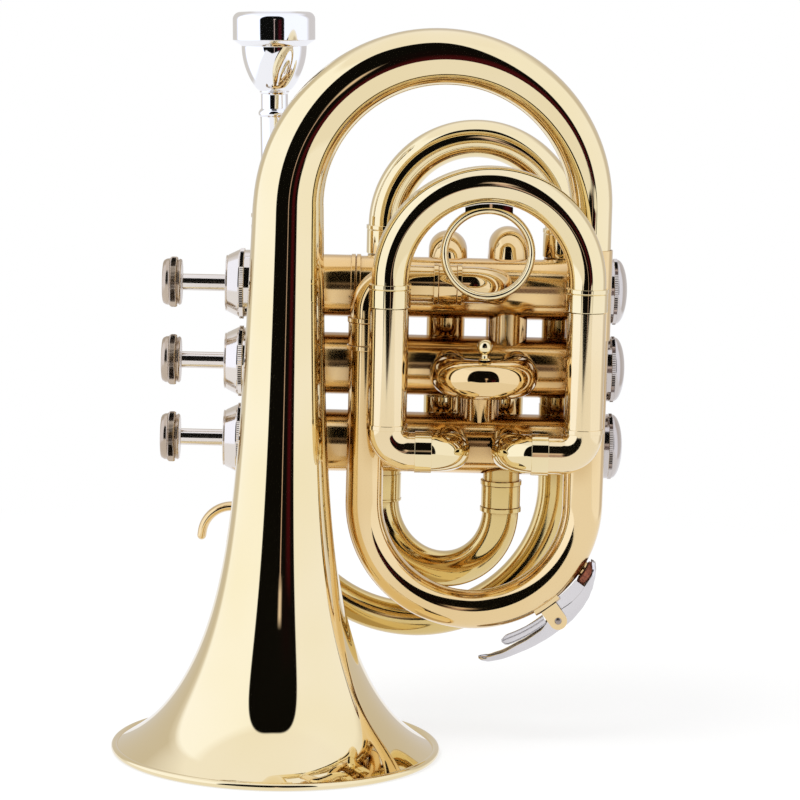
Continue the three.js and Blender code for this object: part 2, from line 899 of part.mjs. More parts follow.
const intoCasing = reversed(portHeading(bellPortDegrees));
const portElbowStart = portFerruleMiddle + buttGap / 2;
const portElbowRoute = new Route(
  new THREE.Vector3(portElbowStart, wrapDepth, bellRunHeight),
  along.x,
  along.z,
)
  .straight(bellPortPlace - bellElbowRadius - portElbowStart)
  .bend(bellElbowRadius, 90, intoCasing)
  .straight(casingRadius - tubeWall);
addMesh(
  "bell_port_elbow",
  cut(tube(portElbowRoute, branchTailRadius), casingSeat(1, bellPortPlace)),
  lacqueredBrass,
);

// First slide: two domed tubes down the back, and the U that slides up into them
firstPortPlaces.forEach((place, i) => {
  const heading = portHeading(firstPortAngle);
  const over = portHeading(firstPortAngle + 90);
  const turnDegrees = 270 - firstPortAngle;
  const dropOut = firstDomeRadii[i] * (1 + Math.sin(degToRad(firstPortAngle)));
  const rise = (firstLegDepth - dropOut) / heading.y;
  const route = new Route(axisPoint(1, place), heading, along.x)
    .straight(rise)
    .bend(firstDomeRadii[i], turnDegrees, over);
  route.straight(route.end.point.z - firstLegBottom);
  const bead = beadOn(firstTubeRadius)
    .rotateX(Math.PI / 2)
    .translate(place, valveDepth + firstLegDepth, firstLegBottom);
  addMesh(
    "first_outer_leg_" + ["left", "right"][i],
    cut(join(tube(route, firstTubeRadius), bead), casingSeat(1, place)),
    lacqueredBrass,
  );
});

const firstWidth = firstPortPlaces[1] - firstPortPlaces[0];
const firstSlide = addMesh(
  "first_slide",
  slideU({
    width: firstWidth,
    bowTube: firstBowTubeRadius,
    outerTube: firstTubeRadius,
    ferrule: firstLegBottom - buttGap - firstBowHeight,
    overlap: firstLegOverlap,
  }),
  lacqueredBrass,
);
firstSlide.rotateX(-Math.PI / 2);
firstSlide.position.set(
  firstPortPlaces[0] + firstWidth / 2,
  valveDepth + firstLegDepth,
  firstBowHeight,
);

// Second slide: two stubs out of valve 2, and the short U with its pull knob
const secondStubEnd = valveDepth - casingRadius - secondStubLength;
secondPortPlaces.forEach((place, i) => {
  const route = new Route(axisPoint(2, place), reversed(along.y), along.x).straight(
    casingRadius + secondStubLength,
  );
  const bead = beadOn(secondTubeRadius).translate(place, secondStubEnd, valveHeight(2));
  addMesh(
    "second_outer_tube_" + ["left", "right"][i],
    cut(join(tube(route, secondTubeRadius), bead), casingSeat(2, place)),
    lacqueredBrass,
  );
});

const secondWidth = secondPortPlaces[1] - secondPortPlaces[0];
const secondFrame = new THREE.Group();
secondFrame.position.set(
  secondPortPlaces[0] + secondWidth / 2,
  secondStubEnd - buttGap - secondFerruleLength,
  valveHeight(2),
);
secondFrame.rotateZ(Math.PI);
trumpet.add(secondFrame);
addMesh(
  "second_slide",
  slideU({
    width: secondWidth,
    bowTube: secondTubeRadius,
    outerTube: secondTubeRadius,
    ferrule: secondFerruleLength,
    overlap: secondLegOverlap,
    rings: false,
  }),
  lacqueredBrass,
  secondFrame,
);
const knobNeckLength = 1.6 * knobRadius;
const knobBase = secondTubeRadius + buttGap / 2;
const knobTurn = degToRad(knobPlaceDegrees);
const knob = addMesh(
  "second_slide_knob",
  turned([
    [0, 0],
    [2 * knobNeckRadius, 0],
    [knobNeckRadius, knobNeckRadius],
    [knobNeckRadius, knobNeckLength - knobRadius],
    ...spread(-60, 60, 4).map((degrees) => [
      knobRadius * Math.cos(degToRad(degrees)),
      knobNeckLength + knobRadius * Math.sin(degToRad(degrees)),
    ]),
    [0, knobNeckLength + knobRadius],
  ], tubeSides),
  lacqueredBrass,
  secondFrame,
);
standAlongZ(knob).position.set(
  (secondWidth / 2) * Math.cos(knobTurn),
  (secondWidth / 2) * Math.sin(knobTurn),
  knobBase,
);

// Third slide: a port elbow and an outer leg on each side, and the tall U with its finger ring
const thirdSides = [
  { name: "left", out: reversed(along.x), place: thirdPortPlaces[0], sign: -1 },
  { name: "right", out: along.x, place: thirdPortPlaces[1], sign: 1 },
];
const thirdLegTop = thirdFerruleTop - thirdFerruleLength - buttGap;
for (const { name, out, place, sign } of thirdSides) {
  const heading = portHeading(thirdPortDegrees);
  const runStart = Math.hypot(valveDepth - thirdDepth, thirdRunRise) - thirdElbowRadius;
  const elbowRoute = new Route(axisPoint(3, place), heading, along.x)
    .straight(runStart)
    .bend(thirdElbowRadius, 90, out);
  const seam = elbowRoute.end.point;
  const band = turned(
    socketProfile(thirdTubeRadius, thirdBandLength, thirdBandReach),
    tubeSides,
  )
    .rotateZ((-sign * Math.PI) / 2)
    .translate(seam.x - sign * thirdBandReach, seam.y, seam.z);
  addMesh(
    "third_port_elbow_" + name,
    cut(join(tube(elbowRoute, thirdTubeRadius), band), casingSeat(3, place)),
    lacqueredBrass,
  );

  const legPlace = thirdCentre + (sign * thirdLegWidth) / 2;
  const legStart = seam.clone().addScaledVector(out, buttGap);
  const legRoute = new Route(legStart, out, along.y)
    .straight(sign * (legPlace - legStart.x) - thirdCornerRadius)
    .bend(thirdCornerRadius, 90, along.z)
    .straight(thirdLegTop - thirdRunHeight - thirdCornerRadius);
  const bead = beadOn(thirdTubeRadius)
    .rotateX(Math.PI / 2)
    .translate(legPlace, thirdDepth, thirdRunHeight + thirdCornerRadius);
  addMesh(
    "third_outer_leg_" + name,
    join(tube(legRoute, thirdTubeRadius), bead),
    lacqueredBrass,
  );
}

const thirdFrame = new THREE.Group();
thirdFrame.position.set(thirdCentre, thirdDepth, thirdBowHeight);
standAlongZ(thirdFrame);
trumpet.add(thirdFrame);
addMesh(
  "third_slide",
  slideU({
    width: thirdLegWidth,
    bowTube: thirdBowTubeRadius,
    outerTube: thirdTubeRadius,
    bowDrop: thirdBowHeight - thirdFerruleTop,
    ferrule: thirdFerruleLength,
    overlap: thirdLegOverlap,
  }),
  lacqueredBrass,
  thirdFrame,
);

// The finger ring hangs inside the U, on a foot shaped to the bow above it.
const ringCentre = thirdLegWidth / 2 - thirdBowTubeRadius - ringDrop - ringRadius;
const thirdBowRoute = new Route(
  new THREE.Vector3(-thirdLegWidth / 2, 0, 0),
  along.y,
  along.x,
).bend(thirdLegWidth / 2, 180, along.x);
const ringBand = turned(
  [
    [ringRadius - ringThickness, -ringWidth / 2],
    [ringRadius, -ringWidth / 2],
    [ringRadius, ringWidth / 2],
    [ringRadius - ringThickness, ringWidth / 2],
  ],
  ringSides,
)
  .rotateX(Math.PI / 2)
  .translate(ringShift, ringCentre, 0);
const footHeight = ringDrop + ringThickness + thirdBowTubeRadius / 2;
const footBlock = new THREE.BoxGeometry(ringFootWidth, footHeight, ringWidth).translate(
  ringShift,
  ringCentre + ringRadius - ringThickness + footHeight / 2,
  0,
);
const ringInside = drum(ringRadius - ringThickness, -ringWidth, ringWidth, ringSides)
  .rotateX(Math.PI / 2)
  .translate(ringShift, ringCentre, 0);
addMesh(
  "third_slide_ring",
  join(
    ringBand,
    cut(footBlock, rod(thirdBowRoute, thirdBowTubeRadius + buttGap), ringInside),
  ),
  lacqueredBrass,
  thirdFrame,
);

// Leadpipe: from the receiver down the back, round the big bow and up to the tuning slide
const lean = degToRad(pipeLeanDegrees);
const pipeDown = new THREE.Vector3(Math.sin(lean), 0, -Math.cos(lean));
const mouth = new THREE.Vector3(mouthPlace, pipeDepth, mouthTop);
const pipePoint = (distance) => mouth.clone().addScaledVector(pipeDown, distance);
const receiverStart = mouthpieceLength - mouthpieceInsertion;
const pipeStart = pipePoint(receiverStart + receiverLength - receiverOverlap);
const pipeAcross = new THREE.Vector3(Math.cos(lean), 0, Math.sin(lean));
const pipeRoute = new Route(pipeStart, pipeDown, pipeAcross)
  .straight((pipeStart.z - backBowHeight) / Math.cos(lean))
  .bend(backBowRadius, 180 - pipeLeanDegrees, pipeAcross);
const tuningRightPlace = pipeRoute.end.point.x;
pipeRoute.straight(tuningSeamHeight - buttGap / 2 - pipeRoute.end.point.z);
const pipeSkin = (run) => lerp(pipeStartRadius, pipeRadius, run / pipeRoute.end.run);
addMesh(
  "leadpipe",
  taperedTube(pipeRoute, pipeSkin, (run) => pipeSkin(run) - tubeWall, tubeSides),
  lacqueredBrass,
);

// Moves a piece made about its own Y axis to the leadpipe's line, pointing down it
function alongPipe(mesh, distance) {
  mesh.rotateX(-Math.PI / 2).rotateZ(-lean);
  mesh.position.copy(pipePoint(distance));
  return mesh;
}

const shankAt = (distance) =>
  THREE.MathUtils.mapLinear(
    distance,
    cupBasePlace + neckLength + mouthpieceBeadLength,
    mouthpieceLength,
    shankRadius,
    shankEndRadius,
  );
const receiverBore = boreFor(shankAt(receiverStart), valveSides);
const pipeSocket = boreFor(pipeSkin(receiverOverlap), valveSides);
alongPipe(
  addMesh(
    "mouthpiece_receiver",
    turned([
      [receiverBore, 0],
      [receiverMouthRadius, 0],
      [receiverMouthRadius, receiverCollarLength],
      [receiverRadius, receiverCollarLength + beadHeight],
      [pipeSocket + 2 * ferruleWall, receiverLength],
      [pipeSocket, receiverLength],
      [pipeSocket, receiverLength - receiverOverlap - buttGap],
      [receiverBore, receiverLength - receiverOverlap - buttGap],
    ]),
    lacqueredBrass,
  ),
  receiverStart,
);

const cupRound = [0.25, 0.5, 0.75].map((share) => [
  lerp(cupBaseRadius, cupStepRadius, Math.cos((share * Math.PI) / 2) ** cupRoundPower),
  lerp(cupStepPlace, cupBasePlace, share),
]);
const cupInside = [60, 30].map((degrees) => [
  throatRadius + (cupMouthRadius - throatRadius) * Math.cos(degToRad(degrees)),
  cupLipDepth + (cupDepth - cupLipDepth) * Math.sin(degToRad(degrees)),
]);
const neckEnd = cupBasePlace + neckLength;
alongPipe(
  addMesh(
    "mouthpiece",
    turned([
      [cupMouthRadius + rimBeadRadius, 0],
      [cupRimRadius - 2 * rimBeadRadius, 0],
      [cupRimRadius - rimBeadRadius / 2, rimBeadRadius],
      [cupRimRadius, 2 * rimBeadRadius],
      [cupRimRadius, cupRimLength],
      [cupStepRadius, cupStepPlace],
      ...cupRound,
      [cupBaseRadius, cupBasePlace],
      [neckRadius, cupBasePlace + beadHeight],
      [neckRadius, neckEnd],
      [mouthpieceBeadRadius, neckEnd + mouthpieceBeadLength / 2],
      [shankRadius, neckEnd + mouthpieceBeadLength],
      [shankEndRadius, mouthpieceLength],
      [backboreRadius, mouthpieceLength],
      [throatRadius, cupDepth + cupRimLength],
      ...cupInside,
      [cupMouthRadius, cupLipDepth],
    ]),
    silver,
  ),
  0,
);

// Tuning slide: a bow at the top of the back, on two outer tubes
const tuningFerruleBottom = tuningFerruleTop - tuningFerruleLength;
const tuningWidth = tuningRightPlace - tuningLeftPlace;
const entryAcross = new THREE.Vector3(
  entryPortPlace - tuningLeftPlace,
  valveDepth - pipeDepth,
  0,
);

function outerTuningTube(bottom, bore) {
  const length = tuningFerruleBottom - buttGap - bottom;
  const skin = boreFor(Math.max(bore, tuningTubeRadius)) + ferruleWall;
  return turned(
    [
      [boreFor(bore), -tuningSocketLength / 2],
      [skin, -tuningSocketLength / 2],
      [skin, tuningSocketLength / 2],
      [tuningTubeRadius, tuningSocketLength / 2],
      [tuningTubeRadius, length],
      [tuningTubeRadius - tubeWall, length],
      [tuningTubeRadius - tubeWall, 0],
      [boreFor(bore), 0],
    ],
    tubeSides,
  );
}

const tuningOuterRight = addMesh(
  "tuning_outer_right",
  outerTuningTube(tuningSeamHeight, pipeRadius),
  lacqueredBrass,
);
standAlongZ(tuningOuterRight).position.set(tuningRightPlace, pipeDepth, tuningSeamHeight);
const entrySeamHeight = entryBowHeight + tuningSocketLength / 2;
const tuningOuterLeft = addMesh(
  "tuning_outer_left",
  outerTuningTube(entrySeamHeight, entryTubeRadius),
  lacqueredBrass,
);
standAlongZ(tuningOuterLeft).position.set(tuningLeftPlace, pipeDepth, entrySeamHeight);

const tuningSlide = addMesh(
  "tuning_slide",
  slideU({
    width: tuningWidth,
    bowTube: tuningTubeRadius,
    outerTube: tuningTubeRadius,
    ferrule: tuningFerruleLength,
    overlap: tuningLegOverlap,
  }),
  lacqueredBrass,
);
standAlongZ(tuningSlide).position.set(
  tuningLeftPlace + tuningWidth / 2,
  pipeDepth,
  tuningFerruleTop,
);

// Entry bow: from the tuning slide's left leg round into the bottom of valve 3
const entryRoute = new Route(
  new THREE.Vector3(tuningLeftPlace, pipeDepth, entrySeamHeight - buttGap / 2),
  reversed(along.z),
  along.x,
)
  .straight(entrySeamHeight - buttGap / 2 - entryBowHeight)
  .bend(entryAcross.length() / 2, 180, entryAcross)
  .straight(valveHeight(3) - casingRadius + tubeWall - entryBowHeight);
const entryFerrule = turned(
  ferruleProfile(entryTubeRadius - tubeWall / 2, entryFerruleLength),
  tubeSides,
)
  .rotateX(Math.PI / 2)
  .translate(entryPortPlace, valveDepth, entryBowHeight);
addMesh(
  "entry_bow",
  cut(join(tube(entryRoute, entryTubeRadius), entryFerrule), casingSeat(3, entryPortPlace)),
  lacqueredBrass,
);

// Finger hook: a pad on the back bow's left shoulder, and a strap that leaves it and curls down
const hookTurn = Math.asin((backBowHeight - hookHeight) / backBowRadius);
const hookOut = new THREE.Vector3(-Math.cos(hookTurn), 0, -Math.sin(hookTurn));
const hookRoot = new THREE.Vector3(tuningRightPlace - backBowRadius, pipeDepth, backBowHeight)
  .addScaledVector(hookOut, backBowRadius);
const hookSkin = pipeSkin((pipeStart.z - hookHeight) / Math.cos(lean));
const hookRoute = new Route(
  hookRoot.clone().addScaledVector(hookOut, hookSkin + 2 * buttGap),
  reversed(along.x),
  along.z,
)
  .straight(hookReach)
  .bend(hookBendRadius, hookBendDegrees, reversed(along.z));
const hookStrap = new THREE.Shape(circle(hookThickness / 2, tubeSides, hookWidth / hookThickness));
const hookPad = new THREE.BoxGeometry(hookSkin + hookPadThickness, hookWidth, 2 * hookWidth)
  .translate(-(hookSkin + hookPadThickness) / 2, 0, 0)
  .rotateY(-hookTurn)
  .translate(...hookRoot);
addMesh(
  "finger_hook",
  join(cut(hookPad, rod(pipeRoute, hookSkin + buttGap)), sweep(hookStrap, hookRoute)),
  lacqueredBrass,
);

// Water key: its saddle on the lower bow, and the lever that holds a cork on the nipple
const pivotRadius = lowerBowRadius + branchSkin(branchRunAt(keyPivotDegrees)) + pivotRise;
const pivot = polar(pivotRadius, keyPivotDegrees);
const leverRadius = lowerBowRadius + branchSkin(branchRunAt(keyPivotDegrees)) + leverRise;
const corkBase = nippleTop + buttGap;
const corkTop = corkBase + corkThickness;
const padRadius = corkTop + buttGap + leverThickness / 2;

// The lever follows the bow to just past the pivot and then dips to the cork.
function leverDistance(degrees) {
  const dipShare = THREE.MathUtils.smoothstep(degrees, keyPivotDegrees, keyNippleDegrees);
  return lerp(leverRadius, padRadius, dipShare);
}

function strip(fromDegrees, toDegrees, steps, distanceAt, thickness, width) {
  const edge = (offset) =>
    Array.from({ length: steps + 1 }, (_, i) => {
      const degrees = lerp(fromDegrees, toDegrees, i / steps);
      return polar(distanceAt(degrees) + offset, degrees);
    });
  const shape = new THREE.Shape([...edge(thickness / 2), ...edge(-thickness / 2).reverse()]);
  return new THREE.ExtrudeGeometry(shape, { depth: width, bevelEnabled: false }).translate(
    0,
    0,
    -width / 2,
  );
}

const pinAlong = (radius, width) =>
  new THREE.CylinderGeometry(radius, radius, width, tubeSides)
    .rotateX(Math.PI / 2)
    .translate(pivot.x, pivot.y, 0);

const corkEdgeDegrees = radToDeg(corkRadius / padRadius);
addMesh(
  "water_key_lever",
  cut(
    join(
      strip(
        keyTipDegrees,
        keyNippleDegrees + corkEdgeDegrees,
        10,
        leverDistance,
        leverThickness,
        leverWidth,
      ),
      pinAlong(hingeBarrelRadius, hingeBarrelWidth),
    ),
    pinAlong(hingePinRadius + hingeGap, hingeBarrelWidth + overrun),
  ),
  nickel,
  keyFrame,
);
addMesh(
  "water_key_cork",
  radialDrum(corkRadius, corkBase, corkTop, keyNippleDegrees),
  cork,
  keyFrame,
);

const saddleSkin = lowerBowRadius + branchSkin(branchRunAt(keyPivotDegrees));
const earOffset = leverWidth / 2 + hingeGap + earThickness / 2;

// An ear is a tab as wide as its round end, which it carries over the pin.
function makeEar(offset) {
  const root = polar(saddleSkin - saddleThickness, keyPivotDegrees);
  const halfRound = spread(90, -90, 4).map((turn) => polar(earRadius, keyPivotDegrees + turn));
  const outline = [
    root.clone().add(halfRound[0]),
    ...halfRound.map((corner) => corner.clone().add(pivot)),
    root.clone().add(halfRound.at(-1)),
  ];
  return new THREE.ExtrudeGeometry(new THREE.Shape(outline), {
    depth: earThickness,
    bevelEnabled: false,
  }).translate(0, 0, offset - earThickness / 2);
}

const saddleWidth = 2 * earOffset + earThickness;
const saddleDepth = branchRadius / 2;
const saddlePlate = strip(
  keyPivotDegrees - saddleDegrees / 2,
  keyPivotDegrees + saddleDegrees / 2,
  3,
  () => saddleSkin + buttGap + saddleThickness - saddleDepth / 2,
  saddleDepth,
  saddleWidth,
);
const branchSeat = rod(branchRoute, branchSkin(branchRunAt(keyPivotDegrees)) + buttGap).applyMatrix4(
  keyFrame.matrix.clone().invert(),
);
addMesh(
  "water_key_saddle",
  join(
    cut(join(saddlePlate, makeEar(earOffset), makeEar(-earOffset)), branchSeat),
    pinAlong(hingePinRadius, saddleWidth),
  ),
  lacqueredBrass,
  keyFrame,
);

// The key's spring coils round the pin beside the barrel, and its leg reaches under the lever.
const coilBore = hingePinRadius + hingeGap;
const coilRadius = coilBore + keySpringWall;
const coilStart = hingeBarrelWidth / 2 + hingeGap;
const coilEnd = leverWidth / 2;
const springEnd = polar(saddleSkin + keySpringTipRise, keySpringTipDegrees);
const springRun = springEnd.clone().sub(pivot);
const coilSide = springRun.clone().normalize().rotateAround(new THREE.Vector2(), -Math.PI / 2);
const springStart = pivot.clone().addScaledVector(coilSide, coilRadius);
const springLeg = springEnd.clone().sub(springStart);
const springPlane = (coilStart + coilEnd) / 2;
const springRoute = new Route(
  new THREE.Vector3(...springStart, springPlane),
  new THREE.Vector3(...springLeg, 0),
  along.z,
).straight(springLeg.length());
addMesh(
  "water_key_spring",
  join(
    turned(
      [
        [coilBore, coilStart],
        [coilRadius, coilStart],
        [coilRadius, coilEnd],
        [coilBore, coilEnd],
      ],
      tubeSides,
    )
      .rotateX(Math.PI / 2)
      .translate(pivot.x, pivot.y, 0),
    rod(springRoute, keySpringWireRadius, boreSides),
  ),
  springSteel,
  keyFrame,
);

// Brace: a post between the bell's stem and the front of the middle casing
const braceHeight = valveHeight(2);
const braceStart = bellSkin(braceHeight) + buttGap;
const braceEnd = valveDepth - casingHeadRadius - buttGap;
addMesh(
  "bell_brace",
  drum(braceRadius, braceStart, braceEnd, tubeSides).translate(bracePlace, 0, braceHeight),
  lacqueredBrass,
);

// The row's origin lies under the middle of the whole trumpet.
const farEnd = casingEnd + bottomCapDome + 2 * capWall;
const backEdge = pipeDepth + cupRimRadius;
trumpet.position.set((bellRimRadius - farEnd) / 2, (bellRimRadius - backEdge) / 2, 0);

const row = new THREE.Group();
row.add(trumpet);
export default row;
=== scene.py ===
"""Looks of a pocket trumpet that stands on its bell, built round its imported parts.

Sizes are in millimetres from the centre of the bell's rim, as the part's own sizes are: +X runs
along the valves to their bottom caps, +Y back to the leadpipe and +Z up the bell.
"""
import json
import math

import bpy
from mathutils import Matrix, Quaternion, Vector

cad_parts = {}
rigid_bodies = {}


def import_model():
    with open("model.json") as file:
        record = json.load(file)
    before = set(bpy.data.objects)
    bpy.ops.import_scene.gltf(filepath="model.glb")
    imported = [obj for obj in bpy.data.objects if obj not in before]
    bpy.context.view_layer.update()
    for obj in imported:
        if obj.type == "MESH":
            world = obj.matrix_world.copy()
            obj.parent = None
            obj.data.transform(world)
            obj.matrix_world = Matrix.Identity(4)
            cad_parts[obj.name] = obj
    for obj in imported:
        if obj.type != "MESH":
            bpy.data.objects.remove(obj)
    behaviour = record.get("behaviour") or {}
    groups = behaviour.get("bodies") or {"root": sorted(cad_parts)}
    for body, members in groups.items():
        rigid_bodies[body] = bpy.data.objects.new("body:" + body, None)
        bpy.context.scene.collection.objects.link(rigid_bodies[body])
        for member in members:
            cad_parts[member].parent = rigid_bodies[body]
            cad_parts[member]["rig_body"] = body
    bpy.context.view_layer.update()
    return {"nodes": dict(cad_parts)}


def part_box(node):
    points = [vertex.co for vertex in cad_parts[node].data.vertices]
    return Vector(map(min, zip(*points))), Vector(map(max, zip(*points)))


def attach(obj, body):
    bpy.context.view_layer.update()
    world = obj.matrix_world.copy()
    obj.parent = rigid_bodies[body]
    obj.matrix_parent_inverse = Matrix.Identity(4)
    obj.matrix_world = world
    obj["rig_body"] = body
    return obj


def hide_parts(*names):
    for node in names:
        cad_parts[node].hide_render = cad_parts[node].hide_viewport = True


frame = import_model()

MM = 0.001
X = Vector((1, 0, 0))
Y = Vector((0, 1, 0))
Z = Vector((0, 0, 1))

# Fineness of round surfaces
TUBE_SIDES = 56
TURN_SIDES = 112
BELL_SIDES = 176
KNURL_TEETH = 108
BEND_STEP_DEGREES = 2.5
ROUND_STEPS = 4
ROUND_SHARE = 0.4
FLAT_DEGREES = 18
SUPPORT_SHARE = 1.2
SHARP_DEGREES = 40
KNURL_SHARP_DEGREES = 30
WIRE_SIDES = 16

# Walls, ferrules and gaps
TUBE_WALL = 0.6
BUTT_GAP = 0.3
SLEEVE_GAP = 0.02
FERRULE_WALL = 0.42
BEAD_HEIGHT = 0.32
BEAD_LENGTH = 1.5
COLLAR_WALL = 0.35
COLLAR_LENGTH = 1.2
EDGE_ROUND = 0.16

# Bell
BELL_RIM_RADIUS = 53.1
RIM_WIRE_RADIUS = 1.2
RIM_WIRE_DEGREES = (-130, 140)
RIM_SKIN_SHARE = 1.6
BELL_WALL = 0.7
STEM_RADIUS_AT_RIM = 16
STEM_RADIUS_AT_BOW = 11.2
FLARE_HEIGHT = 33
FLARE_LENGTH = 29
LIP_FLARE_HEIGHT = 6
LIP_FLARE_LENGTH = 4.5
STEM_LENGTH = 175.8
STEM_LEAN_DEGREES = 0.3
BELL_TAIL_RADIUS = 6.6
FLARE_STEPS = 70
FLARE_STEP_GROWTH = 1.045

# Bell branch, and the run over valve 1
WRAP_WIDTH = 97.4
WRAP_DEPTH = 10
SLEEVE_DROP = 12.2
SLEEVE_LENGTH = 29
BRANCH_RADIUS = 6.8
BRANCH_TAIL_RADIUS = 5.8
LOWER_BOW_RADIUS = 35.3
LOWER_BOW_HEIGHT = 80.8
TAIL_FERRULE_BOTTOM = 129.8
TAIL_FERRULE_LENGTH = 10.4
BELL_RUN_RISE = 3.1
BELL_ELBOW_RADIUS = 9
PORT_FERRULE_START = 47.6
PORT_FERRULE_LENGTH = 9
BELL_PORT_PLACE = 67.65

# Valves
VALVE_DEPTH = 28
VALVE_SPACING = 25.5
LOWEST_VALVE_HEIGHT = 97.3
CASING_START = -14
CASING_END = 106.2
CASING_RADIUS = 9.9
CASING_HEAD_RADIUS = 10.1
CASING_BORE = 8.75
GUIDE_PLACE = 22.5
CAP_FACE_RADIUS = 9.05
CAP_RADIUS = 11.5
CAP_SKIRT_RADIUS = 10.95
CAP_CONE_LENGTH = 4.6
CAP_GROOVE = 0.35
CAP_GROOVE_DEPTH = 0.2
CAP_SHOULDER = 0.5
KNURL_LENGTH = 1.4
KNURL_DEPTH = 0.24
KNURL_MARGIN = 0.05
CAP_SKIRT_LENGTH = 3
CAP_WALL = 0.9
BOTTOM_CAP_RADIUS = 10.75
BOTTOM_CAP_SKIRT = 2.2
BOTTOM_CAP_DOME = 2.9
DOME_DEGREES = 84
STEM_RADIUS = 2.7
STEM_CLEARANCE = 0.3
BUTTON_STANDOFF = 14.4
BUTTON_RADIUS = 8.2
BUTTON_BACK_RADIUS = 7.5
BUTTON_FACE_RADIUS = 6.8
BUTTON_LENGTH = 6.1
BUTTON_RIM_LENGTH = 1.2
BUTTON_KNURL_LENGTH = 2.2
BUTTON_KNURL_PLACE = 0.6
BUTTON_GROOVE = 0.3
BUTTON_GROOVE_INSET = 1.3
BUTTON_GROOVE_DEPTH = 0.25
BUTTON_NECK_DEPTH = 0.35
BUTTON_FLARE = 0.1
RIDGE_DROP = 0.2
RIDGE_ROUND = 0.4
BARREL_START = -9
UPPER_CROSSOVER_PLACE = 72.4
LOWER_CROSSOVER_PLACE = 63.85
CROSSOVER_RADIUS = 6.3

# First slide
FIRST_PORT_PLACES = (52.4, 72.1)
FIRST_PORT_ANGLE = 120
FIRST_TUBE_RADIUS = 6.35
FIRST_DOME_RADII = (7.5, 6.85)
FIRST_LEG_DEPTH = 18.5
FIRST_LEG_BOTTOM = 110.9
FIRST_BOW_HEIGHT = 101
FIRST_BOW_TUBE_RADIUS = 6.1
FIRST_LEG_OVERLAP = 24

# Second slide
SECOND_PORT_PLACES = (53.6, 75.3)
SECOND_TUBE_RADIUS = 6.3
SECOND_STUB_LENGTH = 9.5
SECOND_FERRULE_LENGTH = 3.4
SECOND_LEG_OVERLAP = 8
KNOB_RADIUS = 2.55
KNOB_NECK_RADIUS = 1.1
KNOB_PLACE_DEGREES = 88
KNOB_BALL_DEGREES = (-64, 84)
KNOB_RISE_SHARE = 1.6
KNOB_FILLET_SHARE = 1.3

# Third slide
THIRD_PORT_PLACES = (54.3, 73.3)
THIRD_DEPTH = -6.3
THIRD_RUN_RISE = 2.1
THIRD_ELBOW_RADIUS = 9
THIRD_LEG_WIDTH = 62.2
THIRD_CENTRE = 64.8
THIRD_TUBE_RADIUS = 6.2
THIRD_CORNER_RADIUS = 7.2
THIRD_BAND_LENGTH = 5.4
THIRD_BAND_REACH = 2.7
THIRD_BOW_HEIGHT = 153.8
THIRD_BOW_TUBE_RADIUS = 5.9
THIRD_FERRULE_TOP = 152.7
THIRD_FERRULE_LENGTH = 7.3
THIRD_LEG_OVERLAP = 26
RING_RADIUS = 15
RING_SHIFT = -0.6
RING_THICKNESS = 2.6
RING_WIDTH = 4.6
RING_DROP = 0.9
RING_FOOT_WIDTH = 15
RING_FOOT_DEPTH_SHARE = 0.4
RING_FOOT_TAPER = 0.6

# Leadpipe, tuning slide and entry bow
ENTRY_PORT_PLACE = 71.6
PIPE_DEPTH = 45
PIPE_RADIUS = 6.15
PIPE_START_RADIUS = 5.2
PIPE_LEAN_DEGREES = 1.4
MOUTH_TOP = 235.99
MOUTH_PLACE = -6.4
MOUTHPIECE_LENGTH = 88
MOUTHPIECE_INSERTION = 22
RECEIVER_LENGTH = 28
RECEIVER_OVERLAP = 10
RECEIVER_RADIUS = 7.4
RECEIVER_MOUTH_RADIUS = 8
RECEIVER_COLLAR_LENGTH = 5
RECEIVER_PLAY = 0.15
RECEIVER_LIP_LENGTH = 1.2
RECEIVER_GROOVE_PLACE = 1.5
RECEIVER_GROOVE_DEPTH = 0.35
BACK_BOW_RADIUS = 46.6
BACK_BOW_HEIGHT = 80.1
TUNING_TUBE_RADIUS = 6.3
TUNING_BOW_TUBE_RADIUS = 6.2
TUNING_SEAM_HEIGHT = 104
TUNING_SOCKET_LENGTH = 9
TUNING_FERRULE_TOP = 167
TUNING_FERRULE_LENGTH = 9.3
TUNING_LEG_OVERLAP = 40
TUNING_LEFT_PLACE = 32.3
ENTRY_TUBE_RADIUS = 6
ENTRY_BOW_HEIGHT = 75
ENTRY_FERRULE_LENGTH = 10.4
SLIDE_GAP = 0.6
LEG_WALL = 0.5

# Mouthpiece
CUP_RIM_RADIUS = 13.5
CUP_RIM_LENGTH = 9
CUP_LIP_DEPTH = 1
CUP_STEP_RADIUS = 10.65
CUP_STEP_PLACE = 11
CUP_STEP_ROUND = (0.5, 0.4)
CUP_BASE_RADIUS = 4.75
CUP_BASE_PLACE = 25.8
CUP_ROUND_POWER = 0.7
CUP_MOUTH_RADIUS = 8.6
CUP_DEPTH = 12
CUP_DEGREES = (82, 8)
CROWN_DEGREES = 80
THROAT_RADIUS = 1.9
BACKBORE_RADIUS = 3.4
NECK_RADIUS = 4.4
NECK_LENGTH = 5.7
NECK_ROUND = 0.5
MOUTHPIECE_BEAD_RADIUS = 5.3
MOUTHPIECE_BEAD_LENGTH = 3.1
MOUTHPIECE_BEAD_SHARE = 0.85
SHANK_RADIUS = 4.7
SHANK_END_RADIUS = 4.2

# Finger hook
HOOK_HEIGHT = 72.5
HOOK_REACH = 9.4
HOOK_BEND_RADIUS = 10
HOOK_BEND_DEGREES = 82
HOOK_THICKNESS = 3.1
HOOK_TIP_LENGTH = 1.4
HOOK_WIDTH = 5.2
HOOK_PAD_THICKNESS = 1.6
HOOK_PAD_LENGTH = 10
HOOK_PAD_DEGREES = 38
HOOK_PAD_POWER = 4
HOOK_PAD_END_WIDTH = 0.04
HOOK_PAD_END_THICKNESS = 0.15

